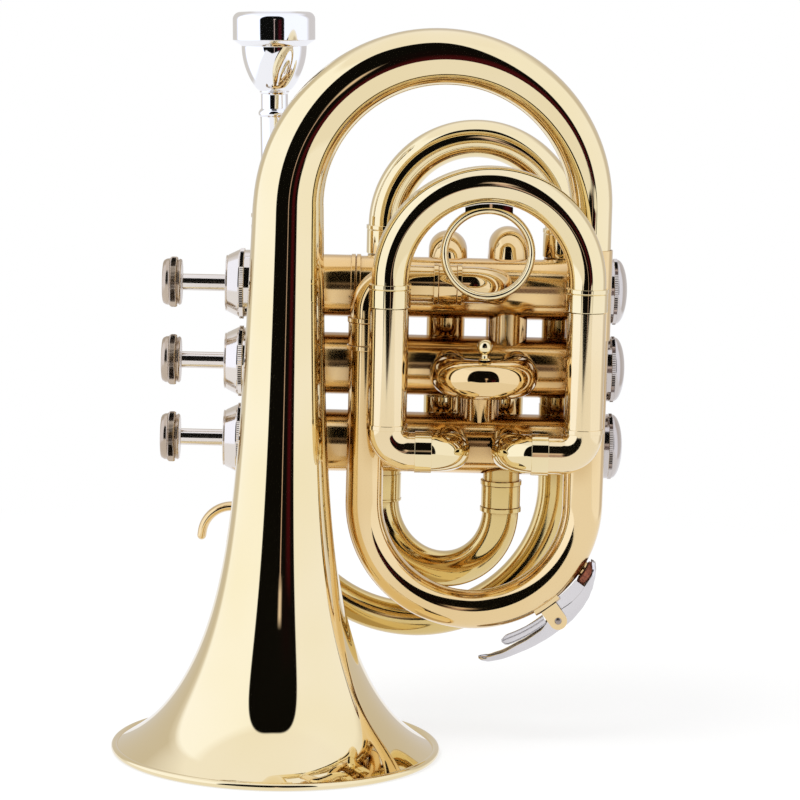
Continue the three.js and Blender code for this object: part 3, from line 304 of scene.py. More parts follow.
# Water key, placed by angle round the lower bow's centre
KEY_NIPPLE_DEGREES = -30.3
KEY_PIVOT_DEGREES = -53
NIPPLE_RADIUS = 2.6
NIPPLE_RISE = 0.4
NIPPLE_WALL = 1
CORK_RADIUS = 4
CORK_THICKNESS = 2.1
CORK_DEGREES = -31.3
CORK_PLUG_RADIUS = 2.6
CORK_PLUG_RISE = 0.6
CORK_ROUND = 0.3
LEVER_THICKNESS = 0.8
LEVER_WIDTH = 6.2
LEVER_CORNER = 1.5
LEVER_CORNER_SHARE = 0.6
LEVER_WALL_SHARE = 0.4
LEVER_INSET_SHARE = 0.9
# Lever by angle: its crest's radius, half its width, and the depths of its front and rear lips
LEVER_STOPS = (
    (-86.6, 51.6, 1.0, 0.4, 0.4),
    (-85.4, 52.3, 2.2, 1.0, 1.0),
    (-83, 52.6, 2.9, 1.7, 1.5),
    (-79, 52.4, 3.1, 2.1, 1.9),
    (-70, 51.5, 3.1, 2.9, 2.7),
    (-61, 50.9, 3.1, 3.6, 3.4),
    (-55, 50.5, 3.1, 5.2, 5.2),
    (-49, 50.3, 3.1, 5.2, 5.2),
    (-44, 49.7, 3.3, 4.2, 4.2),
    (-39, 48.8, 4.2, 3.4, 3.4),
    (-35, 47.8, 4.6, 2.8, 2.8),
    (-31, 46.6, 4.6, 1.7, 1.7),
    (-27.6, 45.5, 4.3, 0.9, 0.9),
    (-25.2, 44.5, 2.6, 0.5, 0.5),
)
PIVOT_RISE = 5.6
HINGE_BARREL_RADIUS = 2.2
HINGE_BARREL_WIDTH = 3.4
HINGE_PIN_RADIUS = 0.8
PIN_HEAD_RADIUS = 1.15
PIN_HEAD_RISE = 0.45
HINGE_GAP = 0.25
EAR_THICKNESS = 0.8
EAR_RADIUS = 2.9
EAR_FOOT_RISE = 0.2
SADDLE_DEGREES = 13
SADDLE_THICKNESS = 1.1
SPRING_WIRE_RADIUS = 0.45
LEAF_ROOT_DEGREES = -57.5
LEAF_TIP_DEGREES = -77
LEAF_ROOT_RADIUS = 43.9
LEAF_TIP_RADIUS = 46.1
LEAF_ROOT_SKIRT = 2.1
LEAF_TIP_SKIRT = 1.9
LEAF_ROOT_EDGE = 43.55
LEAF_TIP_EDGE = 44.9
LEAF_THICKNESS = 0.25
LEAF_CREASE_SHARE = 0.42
LEAF_NOSE_SHARE = 0.15
LEAF_NOSE_END = 0.02
WEB_DEGREES = (-49.5, -35.7)
WEB_RADIUS = 41.5

# Brace between the bell's stem and the middle casing
BRACE_RADIUS = 3
BRACE_PLACE = 2
BRACE_WAIST = 0.6
BRACE_WAIST_PLACE = 0.3

# Camera, fitted to the photograph
CAMERA_PLACE = (33.763, -1002.463, 256.819)
CAMERA_PITCH_DEGREES = 8.055
CAMERA_YAW_DEGREES = 0.035
CAMERA_ROLL_DEGREES = -1.324
FOCAL_PIXELS = 3175.988
IMAGE_PIXELS = 800
SENSOR_WIDTH = 36
CAMERA_CLIP = (0.01, 20)

bell_low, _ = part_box("bell")
ROW_SHIFT = bell_low / MM + Vector((BELL_RIM_RADIUS, BELL_RIM_RADIUS, 0))


def placed(point):
    """A point of the part's sizes, in metres of the row frame."""
    return (point + ROW_SHIFT) * MM


def lerp(start, end, share):
    return start + (end - start) * share


def smoothstep(value, low, high):
    share = min(max((value - low) / (high - low), 0), 1)
    return share * share * (3 - 2 * share)


def spread(start, end, steps):
    return [lerp(start, end, i / steps) for i in range(steps + 1)]


def arc(centre, radii, start, end, steps):
    """Points round an ellipse from one angle to another, in degrees."""
    turns = spread(math.radians(start), math.radians(end), steps)
    return [(centre[0] + radii[0] * math.cos(t), centre[1] + radii[1] * math.sin(t)) for t in turns]


def band(bore, radius, low, high):
    """The profile of a plain ring, or of a disc where the bore is zero."""
    return [(bore, low), (radius, low), (radius, high), (bore, high)]


class Station:
    """A place on a route: its point, its heading, a side vector and the distance run."""

    def __init__(self, point, heading, side, run=0.0):
        self.point = point
        self.heading = heading
        self.side = side
        self.run = run


class Route:
    """A centreline of straights and round bends that carries a side vector with it."""

    def __init__(self, start, heading, side):
        self.stations = [Station(Vector(start), heading.normalized(), side.normalized())]

    @property
    def end(self):
        return self.stations[-1]

    def straight(self, length, steps=1, growth=1.0):
        start = self.end
        weights = [growth**i for i in range(steps)]
        gone = 0.0
        for weight in weights:
            gone += length * weight / sum(weights)
            point = start.point + start.heading * gone
            self.stations.append(Station(point, start.heading, start.side, start.run + gone))
        return self

    def bend(self, radius, degrees, towards):
        start = self.end
        axis = start.heading.cross(towards).normalized()
        centre = start.point + axis.cross(start.heading) * radius
        steps = max(2, round(degrees / BEND_STEP_DEGREES))
        for angle in spread(0, math.radians(degrees), steps)[1:]:
            turn = Quaternion(axis, angle)
            self.stations.append(Station(
                centre + turn @ (start.point - centre),
                turn @ start.heading,
                turn @ start.side,
                start.run + radius * angle,
            ))
        return self


def ring_at(station, radius, sides, knurl=0.0):
    """Points round a station. A knurl lowers every other point."""
    if radius <= 0:
        return [station.point.copy()]
    across = station.heading.cross(station.side)
    ring = []
    for i in range(sides):
        angle = 2 * math.pi * i / sides
        out = station.side * math.cos(angle) + across * math.sin(angle)
        ring.append(station.point + out * (radius - knurl * (i % 2)))
    return ring


class Skin:
    """The points and faces of one piece; each form added to it is closed."""

    def __init__(self):
        self.points = []
        self.faces = []

    def loft(self, rings, closed=True):
        starts = []
        for ring in rings:
            starts.append(len(self.points))
            self.points.extend(ring)
        for i in range(len(rings) if closed else len(rings) - 1):
            j = (i + 1) % len(rings)
            self.bridge(starts[i], len(rings[i]), starts[j], len(rings[j]))
        return self

    def bridge(self, near, near_size, far, far_size):
        size = max(near_size, far_size)
        for i in range(size):
            j = (i + 1) % size
            near_edge = [near + k % near_size for k in (i, j)]
            far_edge = [far + k % far_size for k in (j, i)]
            face = list(dict.fromkeys(near_edge + far_edge))
            if len(face) > 2:
                self.faces.append(face)

    def capped(self, sections):
        """Lofts sections, and closes each end to its middle."""
        first, last = ([sum(sections[i], Vector()) / len(sections[i])] for i in (0, -1))
        return self.loft([first, *sections, last], closed=False)

    def tube(self, route, radius, wall=TUBE_WALL, seat_start=None, seat_end=None):
        """A hollow tube. Its radius is a number or follows the distance run; a seat shapes an end."""
        stations = route.stations
        shells = []
        for inset in (0, wall):
            rings = []
            for station in stations:
                skin = radius(station.run) if callable(radius) else radius
                rings.append(ring_at(station, skin - inset, TUBE_SIDES))
            if seat_start:
                rings[0] = seat_start(rings[0], stations[0].heading)
            if seat_end:
                rings[-1] = seat_end(rings[-1], -stations[-1].heading)
            shells.append(rings)
        return self.loft(shells[0] + shells[1][::-1])

    def turned(self, profile, base, axis, side, sides=TURN_SIDES, round_by=EDGE_ROUND, knurled=None):
        """Turns a profile of (radius, height) round an axis, with its corners rounded."""
        closed = profile[0][0] > 0
        rings = []
        for radius, height in rounded(profile, round_by, closed):
            toothed = knurled and knurled[0] <= height <= knurled[1]
            station = Station(base + axis * height, axis, side)
            rings.append(ring_at(station, radius, sides, KNURL_DEPTH if toothed else 0))
        return self.loft(rings, closed=closed)

    def wire(self, path, radius):
        """A round wire along a path of points."""
        rings = []
        side = None
        for i, point in enumerate(path):
            heading = (path[min(i + 1, len(path) - 1)] - path[max(i - 1, 0)]).normalized()
            side = heading.orthogonal() if side is None else side - heading * side.dot(heading)
            side.normalize()
            rings.append(ring_at(Station(point, heading, side.copy()), radius, WIRE_SIDES))
        return self.capped(rings)


def rounded(profile, by, closed):
    """The profile with each real corner turned into a small arc."""
    points = [Vector(point) for point in profile]
    count = len(points)
    out = []
    for i, point in enumerate(points):
        if not closed and i in (0, count - 1):
            out.append(tuple(point))
            continue
        before = points[i - 1] - point
        after = points[(i + 1) % count] - point
        if before.length == 0 or after.length == 0:
            continue
        bend = math.pi - before.angle(after)
        reach = min(by, ROUND_SHARE * before.length, ROUND_SHARE * after.length)
        if bend < math.radians(FLAT_DEGREES) or point.x <= 0:
            out.append(tuple(point))
            continue
        first = point + before.normalized() * reach
        last = point + after.normalized() * reach
        out.append(tuple(point + before.normalized() * reach * SUPPORT_SHARE))
        for share in spread(0, 1, ROUND_STEPS):
            mixed = first.lerp(point, share).lerp(point.lerp(last, share), share)
            out.append((mixed.x, mixed.y))
        out.append(tuple(point + after.normalized() * reach * SUPPORT_SHARE))
    return out


def add_object(name, data):
    item = bpy.data.objects.new(name, data)
    bpy.context.scene.collection.objects.link(item)
    return item


def dress(node, skin, material, sharp=SHARP_DEGREES, name=None):
    """Makes the skin a smooth piece that stands for a node of the part and rides on its body."""
    name = (name or node) + "_look"
    mesh = bpy.data.meshes.new(name)
    mesh.from_pydata([placed(point) for point in skin.points], [], skin.faces)
    mesh.polygons.foreach_set("use_smooth", [True] * len(mesh.polygons))
    mesh.set_sharp_from_angle(angle=math.radians(sharp))
    mesh.materials.append(material)
    look = add_object(name, mesh)
    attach(look, frame["nodes"][node]["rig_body"])
    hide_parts(node)


class Nodes:
    """A node tree, with short ways to add nodes and to join them."""

    def __init__(self, tree):
        self.tree = tree

    def plug(self, value, socket):
        """Links a socket, or sets it to a number, a vector, a colour or a level of grey."""
        if isinstance(value, bpy.types.NodeSocket):
            self.tree.links.new(value, socket)
        elif socket.type != "RGBA":
            socket.default_value = value
        elif isinstance(value, tuple):
            socket.default_value = (*value, 1)
        else:
            socket.default_value = (value, value, value, 1)

    def add(self, kind, inputs=None, **settings):
        """Adds a node and hands back its outputs."""
        node = self.tree.nodes.new("ShaderNode" + kind)
        for name, value in settings.items():
            setattr(node, name, value)
        for name, value in (inputs or {}).items():
            self.plug(value, node.inputs[name])
        return node.outputs

    def noise(self, scale, detail, stretch=(1, 1, 1)):
        """Noise fixed to the piece; the scale counts features per metre."""
        place = self.add("TexCoord")["Object"]
        place = self.add("Mapping", {"Vector": place, "Scale": stretch})["Vector"]
        return self.add("TexNoise", {"Vector": place, "Scale": scale, "Detail": detail})["Fac"]

    def ramp(self, value, low, high, to_low=0, to_high=1):
        limits = {"From Min": low, "From Max": high, "To Min": to_low, "To Max": to_high}
        return self.add("MapRange", {"Value": value, **limits})["Result"]

    def calc(self, operation, *values):
        return self.add("Math", dict(enumerate(values)), operation=operation)["Value"]

    def mix(self, factor, first, second):
        return self.add("Mix", {"Factor": factor, "A": first, "B": second}, data_type="RGBA")["Result"]

    def bump(self, shader, height, strength, distance):
        bump = self.add("Bump", {"Height": height, "Strength": strength, "Distance": distance})
        self.plug(bump["Normal"], shader.inputs["Normal"])


# Materials: noise by features per metre, and depths and reaches in metres
# Painted shade in crevices: how far the ambient occlusion looks, the band of it that turns to shade, and
# its samples
CREVICE_REACH = 0.011
CREVICE_BAND = (0.2, 0.95)
CREVICE_SAMPLES = 8
TONE_SCALE = 22
TONE_BAND = (0.35, 0.65)
SMEAR_SCALE = 60
SMEAR_STRETCH = (1, 1, 0.3)
SMEAR_BAND = (0.3, 0.8)
SMEAR_SHARES = (0.6, 1.7)
WAVE_SCALE = 38
WAVE_DEPTH = 0.0004
LACQUER = 0.5
LACQUER_ROUGHNESS = 0.03
CORK_SCALE = 1400
CORK_BAND = (0.4, 0.62)
CORK_RELIEF = 0.5
CORK_DEPTH = 0.0003


def new_material(name, color, roughness, metallic):
    material = bpy.data.materials.new(name)
    material.use_nodes = True
    shader = material.node_tree.nodes["Principled BSDF"]
    shader.inputs["Base Color"].default_value = (*color, 1)
    shader.inputs["Roughness"].default_value = roughness
    shader.inputs["Metallic"].default_value = metallic
    return material, Nodes(material.node_tree), shader


def polished_metal(name, color, shade, roughness, coat=0.0, wave=0.08, crevice_shade=None):
    """A buffed metal: its tone drifts a little, hand polishing leaves it slightly wavy, and painted
    shade darkens its crevices, by how near other surfaces are."""
    material, nodes, shader = new_material(name, color, roughness, 1)
    tone = nodes.mix(nodes.ramp(nodes.noise(TONE_SCALE, 2), *TONE_BAND), color, shade)
    # Painted shade: the base colour turns towards the shade colour where ambient occlusion finds other
    # surfaces near
    if crevice_shade:
        nearness = nodes.add("AmbientOcclusion", {"Distance": CREVICE_REACH}, samples=CREVICE_SAMPLES)
        tone = nodes.mix(nodes.ramp(nearness["AO"], *CREVICE_BAND, 1, 0), tone, crevice_shade)
    nodes.plug(tone, shader.inputs["Base Color"])
    smears = nodes.noise(SMEAR_SCALE, 4, SMEAR_STRETCH)
    smears = nodes.ramp(smears, *SMEAR_BAND, *(roughness * share for share in SMEAR_SHARES))
    nodes.plug(smears, shader.inputs["Roughness"])
    nodes.bump(shader, nodes.noise(WAVE_SCALE, 1), wave, WAVE_DEPTH)
    shader.inputs["Coat Weight"].default_value = coat
    shader.inputs["Coat Roughness"].default_value = LACQUER_ROUGHNESS
    return material


# The last colour given to the golden, pipe and valve-block brasses is painted shade for their crevices
brass = polished_metal(
    "lacquered_brass", (0.885, 0.745, 0.45), (0.86, 0.71, 0.39), 0.03, LACQUER, wave=0.012)
golden_brass = polished_metal(
    "golden_brass", (0.86, 0.65, 0.335), (0.81, 0.58, 0.265), 0.06, LACQUER, 0.012, (0.48, 0.26, 0.05))
pipe_brass = polished_metal(
    "pipe_brass", (0.74, 0.56, 0.23), (0.68, 0.49, 0.17), 0.1, LACQUER, 0.012, (0.34, 0.17, 0.03))
satin_brass = polished_metal("satin_brass", (0.89, 0.73, 0.44), (0.86, 0.68, 0.38), 0.07, LACQUER, 0.02)
# Painted shade: a deeper, more orange copy of the brass with a satin finish, standing in for the valve
# block's shade
satin_shaded_brass = polished_metal(
    "satin_shaded_brass", (0.90, 0.65, 0.31), (0.82, 0.54, 0.21), 0.14, LACQUER, 0.02, (0.22, 0.085, 0.012))
nickel = polished_metal("polished_nickel", (0.66, 0.61, 0.56), (0.59, 0.53, 0.48), 0.10, wave=0.03)
warm_nickel = polished_metal("warm_nickel", (0.84, 0.77, 0.68), (0.76, 0.69, 0.60), 0.10, wave=0.03)
worn_nickel = polished_metal("worn_nickel", (0.62, 0.51, 0.39), (0.42, 0.33, 0.24), 0.18, wave=0.05)
key_nickel = polished_metal("key_nickel", (0.76, 0.73, 0.71), (0.58, 0.55, 0.53), 0.16, wave=0.5)
pin_nickel = polished_metal("pin_nickel", (0.42, 0.36, 0.31), (0.30, 0.25, 0.22), 0.3, wave=0.05)
silver = polished_metal("silver_plate", (0.94, 0.935, 0.92), (0.91, 0.90, 0.89), 0.04, wave=0.03)
steel = polished_metal("bare_steel", (0.60, 0.60, 0.61), (0.52, 0.52, 0.54), 0.28)


def cork_material():
    material, nodes, shader = new_material("dense_cork", (0.25, 0.07, 0.035), 0.85, 0)
    grain = nodes.noise(CORK_SCALE, 5)
    color = nodes.mix(nodes.ramp(grain, *CORK_BAND), (0.33, 0.10, 0.05), (0.13, 0.035, 0.02))
    nodes.plug(color, shader.inputs["Base Color"])
    nodes.bump(shader, grain, CORK_RELIEF, CORK_DEPTH)
    return material


cork = cork_material()


# Bell: the rolled rim, the flare, the stem and the top bow
def bell_skin(run):
    stem = lerp(STEM_RADIUS_AT_RIM, STEM_RADIUS_AT_BOW, run / STEM_LENGTH)
    bow_share = min((run - STEM_LENGTH) / (bow_end_run - STEM_LENGTH), 1)
    if bow_share > 0:
        return lerp(STEM_RADIUS_AT_BOW, BELL_TAIL_RADIUS, bow_share)
    flare = FLARE_HEIGHT * math.exp(-run / FLARE_LENGTH)
    return stem + flare + LIP_FLARE_HEIGHT * math.exp(-run / LIP_FLARE_LENGTH)


def bell_lining(run):
    slope = (bell_skin(run) - bell_skin(run + BELL_WALL)) / BELL_WALL
    return bell_skin(run) - BELL_WALL * math.hypot(1, slope)


wrap_across = Vector((WRAP_WIDTH, WRAP_DEPTH, 0)).normalized()
stem_lean = math.radians(STEM_LEAN_DEGREES)
stem_heading = Z * math.cos(stem_lean) + wrap_across * math.sin(stem_lean)
stem_side = (X - stem_heading * stem_heading.x).normalized()
bow_reach = math.hypot(WRAP_WIDTH, WRAP_DEPTH) - STEM_LENGTH * math.sin(stem_lean)
top_bow_radius = bow_reach / (1 + math.cos(stem_lean))
bow_end_run = STEM_LENGTH + math.pi * top_bow_radius
sleeve_bottom = STEM_LENGTH - SLEEVE_DROP - SLEEVE_LENGTH
sleeve_middle = sleeve_bottom + SLEEVE_LENGTH / 2


def make_bell():
    skin_start = RIM_SKIN_SHARE * RIM_WIRE_RADIUS
    route = Route((0, 0, 0), stem_heading, stem_side)
    route.straight(skin_start)
    route.straight(STEM_LENGTH - skin_start, FLARE_STEPS, FLARE_STEP_GROWTH)
    route.bend(top_bow_radius, 180 - STEM_LEAN_DEGREES, wrap_across)
    route.straight(route.end.point.z - sleeve_middle - BUTT_GAP / 2)
    wire_middle = (BELL_RIM_RADIUS - RIM_WIRE_RADIUS, RIM_WIRE_RADIUS)
    wire = arc(wire_middle, (RIM_WIRE_RADIUS, RIM_WIRE_RADIUS), *RIM_WIRE_DEGREES, 24)
    rings = [ring_at(Station(Z * height, Z, X), radius, BELL_SIDES) for radius, height in wire]
    rest = route.stations[1:]
    rings += [ring_at(station, bell_skin(station.run), BELL_SIDES) for station in rest]
    rings += [ring_at(station, bell_lining(station.run), BELL_SIDES) for station in rest[::-1]]
    return Skin().loft(rings)


dress("bell", make_bell(), brass)


def plain_sleeve(bore, length):
    return band(bore, bore + FERRULE_WALL, 0, length)


def beaded_sleeve(bore, length):
    """A ferrule with a half-round bead at each end and a fine groove inside each bead."""
    skin = bore + FERRULE_WALL
    crest = skin + BEAD_HEIGHT
    groove = skin - FERRULE_WALL / 2
    half = [(crest, 0), (crest, BEAD_LENGTH), (groove, BEAD_LENGTH), (skin, BEAD_LENGTH + EDGE_ROUND)]
    upper = [(radius, length - height) for radius, height in half[::-1]]
    return [(bore, 0)] + half + upper + [(bore, length)]


dress("bell_sleeve", Skin().turned(
    plain_sleeve(BRANCH_RADIUS + SLEEVE_GAP, SLEEVE_LENGTH),
    Vector((WRAP_WIDTH, WRAP_DEPTH, sleeve_bottom)), Z, X), golden_brass)

# Bell branch
branch_left = WRAP_WIDTH - 2 * LOWER_BOW_RADIUS
tail_ferrule_middle = TAIL_FERRULE_BOTTOM + TAIL_FERRULE_LENGTH / 2
branch_start = Vector((WRAP_WIDTH, WRAP_DEPTH, sleeve_middle - BUTT_GAP / 2))
branch_route = Route(branch_start, -Z, X)
branch_route.straight(branch_start.z - LOWER_BOW_HEIGHT)
branch_route.bend(LOWER_BOW_RADIUS, 180, -X)
branch_route.straight(tail_ferrule_middle - LOWER_BOW_HEIGHT - BUTT_GAP / 2)


def branch_skin(run):
    return lerp(BRANCH_RADIUS, BRANCH_TAIL_RADIUS, run / branch_route.end.run)


def branch_skin_at(degrees):
    return branch_skin(branch_start.z - LOWER_BOW_HEIGHT + LOWER_BOW_RADIUS * math.radians(-degrees))


key_centre = Vector((WRAP_WIDTH - LOWER_BOW_RADIUS, WRAP_DEPTH, LOWER_BOW_HEIGHT))


def key_point(radius, degrees, front=0.0):
    """A point by distance and angle from the lower bow's centre, and so far to the front."""
    turn = math.radians(degrees)
    return key_centre + X * (radius * math.cos(turn)) + Z * (radius * math.sin(turn)) - Y * front


def key_heading(degrees):
    turn = math.radians(degrees)
    return X * math.cos(turn) + Z * math.sin(turn)


nipple_surface = LOWER_BOW_RADIUS + branch_skin_at(KEY_NIPPLE_DEGREES)
nipple_top = nipple_surface + NIPPLE_RISE
nipple_root = nipple_surface - TUBE_WALL / 2
dress("bell_branch", Skin().tube(branch_route, branch_skin).turned(
    band(NIPPLE_RADIUS - NIPPLE_WALL, NIPPLE_RADIUS, 0, nipple_top - nipple_root),
    key_point(nipple_root, KEY_NIPPLE_DEGREES), key_heading(KEY_NIPPLE_DEGREES), Y), golden_brass)

dress("bell_tail_ferrule", Skin().turned(
    beaded_sleeve(BRANCH_TAIL_RADIUS + SLEEVE_GAP, TAIL_FERRULE_LENGTH),
    Vector((branch_left, WRAP_DEPTH, TAIL_FERRULE_BOTTOM)), Z, X), golden_brass)


# Valves
def valve_height(valve):
    return LOWEST_VALVE_HEIGHT + (3 - valve) * VALVE_SPACING


def axis_point(valve, place):
    return Vector((place, VALVE_DEPTH, valve_height(valve)))


def port_heading(degrees):
    """A port's direction, by its angle from the front up over the casing."""
    turn = math.radians(degrees)
    return -Y * math.cos(turn) + Z * math.sin(turn)


def seat_on(valve):
    """Shapes the end of a tube so that it sits round a casing."""
    centre = axis_point(valve, 0)

    def shape(ring, outward):
        seated = []
        for point in ring:
            away = point - centre
            away.x = 0
            along = away.dot(outward)
            rest = away.length_squared - CASING_RADIUS**2
            seated.append(point + outward * (math.sqrt(along * along - rest) - along))
        return seated

    return shape


bell_run_height = valve_height(1) + BELL_RUN_RISE
bell_port_degrees = math.degrees(math.atan2(BELL_RUN_RISE, VALVE_DEPTH - WRAP_DEPTH))
third_run_height = valve_height(3) + THIRD_RUN_RISE
third_port_degrees = math.degrees(math.atan2(THIRD_RUN_RISE, VALVE_DEPTH - THIRD_DEPTH))
top_cap_face = CASING_START - CAP_WALL - CAP_CONE_LENGTH - BUTT_GAP
stem_top = top_cap_face - BUTTON_STANDOFF


def casing_profile():
    """The casing, with two beads and the groove between them over the valve's guide."""
    bead = CASING_HEAD_RADIUS + BEAD_HEIGHT
    groove = BEAD_LENGTH / 8
    return [
        (CASING_BORE, CASING_START),
        (CASING_HEAD_RADIUS, CASING_START),
        (CASING_HEAD_RADIUS, GUIDE_PLACE - BEAD_LENGTH),
        (bead, GUIDE_PLACE - BEAD_LENGTH),
        (bead, GUIDE_PLACE - groove),
        (CASING_RADIUS, GUIDE_PLACE - groove),
        (CASING_RADIUS, GUIDE_PLACE + groove),
        (bead, GUIDE_PLACE + groove),
        (bead, GUIDE_PLACE + BEAD_LENGTH),
        (CASING_RADIUS, GUIDE_PLACE + BEAD_LENGTH),
        (CASING_RADIUS, CASING_END),
        (CASING_BORE, CASING_END),
    ]


def top_cap_profile():
    bore = CASING_HEAD_RADIUS + BUTT_GAP
    skirt_start = knurl_start + KNURL_LENGTH
    inside = CASING_START - BUTT_GAP
    hole = STEM_RADIUS + STEM_CLEARANCE
    return [
        (hole, top_cap_face),
        (CAP_FACE_RADIUS, top_cap_face),
        (CAP_FACE_RADIUS + CAP_GROOVE_DEPTH / 2, top_cap_face + CAP_GROOVE),
        (CAP_FACE_RADIUS - CAP_GROOVE_DEPTH, top_cap_face + 1.5 * CAP_GROOVE),
        (CAP_FACE_RADIUS + CAP_GROOVE_DEPTH, top_cap_face + 2 * CAP_GROOVE),
        (CAP_RADIUS - CAP_SHOULDER, knurl_start - CAP_GROOVE),
        (CAP_RADIUS - CAP_SHOULDER, knurl_start),
        (CAP_RADIUS, knurl_start),
        (CAP_RADIUS, skirt_start),
        (CAP_SKIRT_RADIUS, skirt_start),
        (CAP_SKIRT_RADIUS, skirt_start + CAP_SKIRT_LENGTH),
        (bore, skirt_start + CAP_SKIRT_LENGTH),
        (bore, inside),
        (hole, inside),
    ]


def bottom_cap_profile():
    bore = CASING_RADIUS + BUTT_GAP
    inside = CASING_END + BUTT_GAP
    top = inside + CAP_WALL
    crown = CASING_END + BOTTOM_CAP_DOME + 2 * CAP_WALL
    return [
        (0, inside),
        (bore, inside),
        (bore, CASING_END - BOTTOM_CAP_SKIRT),
        (bore + COLLAR_WALL, CASING_END - BOTTOM_CAP_SKIRT),
        (bore + COLLAR_WALL, CASING_END),
        (BOTTOM_CAP_RADIUS, CASING_END),
        (BOTTOM_CAP_RADIUS, top),
        *arc((0, top), (BOTTOM_CAP_RADIUS - BUTT_GAP, crown - top), 0, DOME_DEGREES, 18),
        (0, crown),
    ]


def button_profile():
    """The button: a grooved face, a rounded knurled ridge and a neck behind it."""
    face = stem_top - BUTTON_LENGTH
    groove_radius = BUTTON_FACE_RADIUS - BUTTON_GROOVE_INSET
    neck_radius = BUTTON_BACK_RADIUS - BUTTON_NECK_DEPTH
    return [
        (0, face),
        (groove_radius - BUTTON_GROOVE, face),
        (groove_radius, face + BUTTON_GROOVE_DEPTH),
        (groove_radius + BUTTON_GROOVE, face),
        (BUTTON_FACE_RADIUS - BUTTON_GROOVE, face),
        (BUTTON_FACE_RADIUS + BUTTON_GROOVE_DEPTH, face + BUTTON_NECK_DEPTH),
        (BUTTON_BACK_RADIUS, face + BUTTON_RIM_LENGTH),
        (BUTTON_BACK_RADIUS + BUTTON_FLARE, ridge_start - BUTTON_GROOVE),
        (BUTTON_RADIUS - RIDGE_DROP, ridge_start),
        (BUTTON_RADIUS, ridge_start + RIDGE_ROUND),
        (BUTTON_RADIUS, ridge_end - RIDGE_ROUND),
        (BUTTON_RADIUS - RIDGE_DROP, ridge_end),
        (neck_radius, ridge_end + BUTTON_GROOVE_DEPTH),
        (neck_radius, ridge_end + BUTTON_GROOVE_DEPTH + RIDGE_DROP),
        (BUTTON_BACK_RADIUS, ridge_end + 2 * BUTTON_GROOVE),
        (BUTTON_BACK_RADIUS, stem_top - RIDGE_ROUND),
        (BUTTON_BACK_RADIUS - RIDGE_ROUND, stem_top),
        (0, stem_top),
    ]


def around(low, high):
    """The stretch of a profile that a knurl covers."""
    return low - KNURL_MARGIN, high + KNURL_MARGIN


ridge_start = stem_top - BUTTON_KNURL_PLACE * BUTTON_LENGTH
ridge_end = ridge_start + BUTTON_KNURL_LENGTH
knurl_start = top_cap_face + CAP_CONE_LENGTH
bottom_knurl = (CASING_END + KNURL_MARGIN, CASING_END + BUTT_GAP + CAP_WALL + KNURL_MARGIN / 5)
for valve in (1, 2, 3):
    base = axis_point(valve, 0)
    dress(f"valve_casing_{valve}", Skin().turned(casing_profile(), base, X, Y), satin_shaded_brass)
    for piece, profile, knurled, metal in (
        ("top_cap", top_cap_profile(), around(knurl_start, knurl_start + KNURL_LENGTH), warm_nickel),
        ("bottom_cap", bottom_cap_profile(), bottom_knurl, nickel),
        ("finger_button", button_profile(), around(ridge_start, ridge_end), worn_nickel),
    ):
        skin = Skin().turned(profile, base, X, Y, 2 * KNURL_TEETH, knurled=knurled)
        dress(f"{piece}_{valve}", skin, metal, KNURL_SHARP_DEGREES)
    stem = band(0, STEM_RADIUS, stem_top + BUTT_GAP, BARREL_START - BUTT_GAP)
    dress(f"valve_stem_{valve}", Skin().turned(stem, base, X, Y), warm_nickel)
    for piece, metal in (("piston", steel), ("valve_spring", steel), ("valve_guide", brass)):
        materials = frame["nodes"][f"{piece}_{valve}"].data.materials
        materials.clear()
        materials.append(metal)


# Crossovers, and the run from the bell branch over to valve 1
def make_crossover(upper, place):
    start = axis_point(upper + 1, place) + Z * CASING_RADIUS
    route = Route(start, Z, X).straight(VALVE_SPACING - 2 * CASING_RADIUS)
    return Skin().tube(
        route, CROSSOVER_RADIUS, seat_start=seat_on(upper + 1), seat_end=seat_on(upper))


dress("crossover_1_2", make_crossover(1, UPPER_CROSSOVER_PLACE), satin_shaded_brass)
dress("crossover_2_3", make_crossover(2, LOWER_CROSSOVER_PLACE), satin_shaded_brass)

port_ferrule_middle = PORT_FERRULE_START + PORT_FERRULE_LENGTH / 2
tail_elbow_start = Vector((branch_left, WRAP_DEPTH, tail_ferrule_middle + BUTT_GAP / 2))
tail_elbow_route = Route(tail_elbow_start, Z, X)
tail_elbow_route.straight(bell_run_height - BELL_ELBOW_RADIUS - tail_elbow_start.z)
tail_elbow_route.bend(BELL_ELBOW_RADIUS, 90, X)
tail_elbow_route.straight(port_ferrule_middle - BUTT_GAP / 2 - branch_left - BELL_ELBOW_RADIUS)
dress("bell_tail_elbow", Skin().tube(tail_elbow_route, BRANCH_TAIL_RADIUS), golden_brass)

dress("bell_port_ferrule", Skin().turned(
    beaded_sleeve(BRANCH_TAIL_RADIUS + SLEEVE_GAP, PORT_FERRULE_LENGTH),
    Vector((PORT_FERRULE_START, WRAP_DEPTH, bell_run_height)), X, Z), golden_brass)

into_casing = -port_heading(bell_port_degrees)
port_elbow_start = port_ferrule_middle + BUTT_GAP / 2
port_elbow_route = Route((port_elbow_start, WRAP_DEPTH, bell_run_height), X, Z)
port_elbow_route.straight(BELL_PORT_PLACE - BELL_ELBOW_RADIUS - port_elbow_start)
port_elbow_route.bend(BELL_ELBOW_RADIUS, 90, into_casing)
dress("bell_port_elbow", Skin().tube(
    port_elbow_route, BRANCH_TAIL_RADIUS, seat_end=seat_on(1)), golden_brass)


def bead_round(skin, tube_radius, base, axis, side):
    """A half-round bead on the end of a tube."""
    profile = band(tube_radius + SLEEVE_GAP, tube_radius + BEAD_HEIGHT, 0, BEAD_LENGTH)
    return skin.turned(profile, base, axis, side, TUBE_SIDES, round_by=2 * EDGE_ROUND)


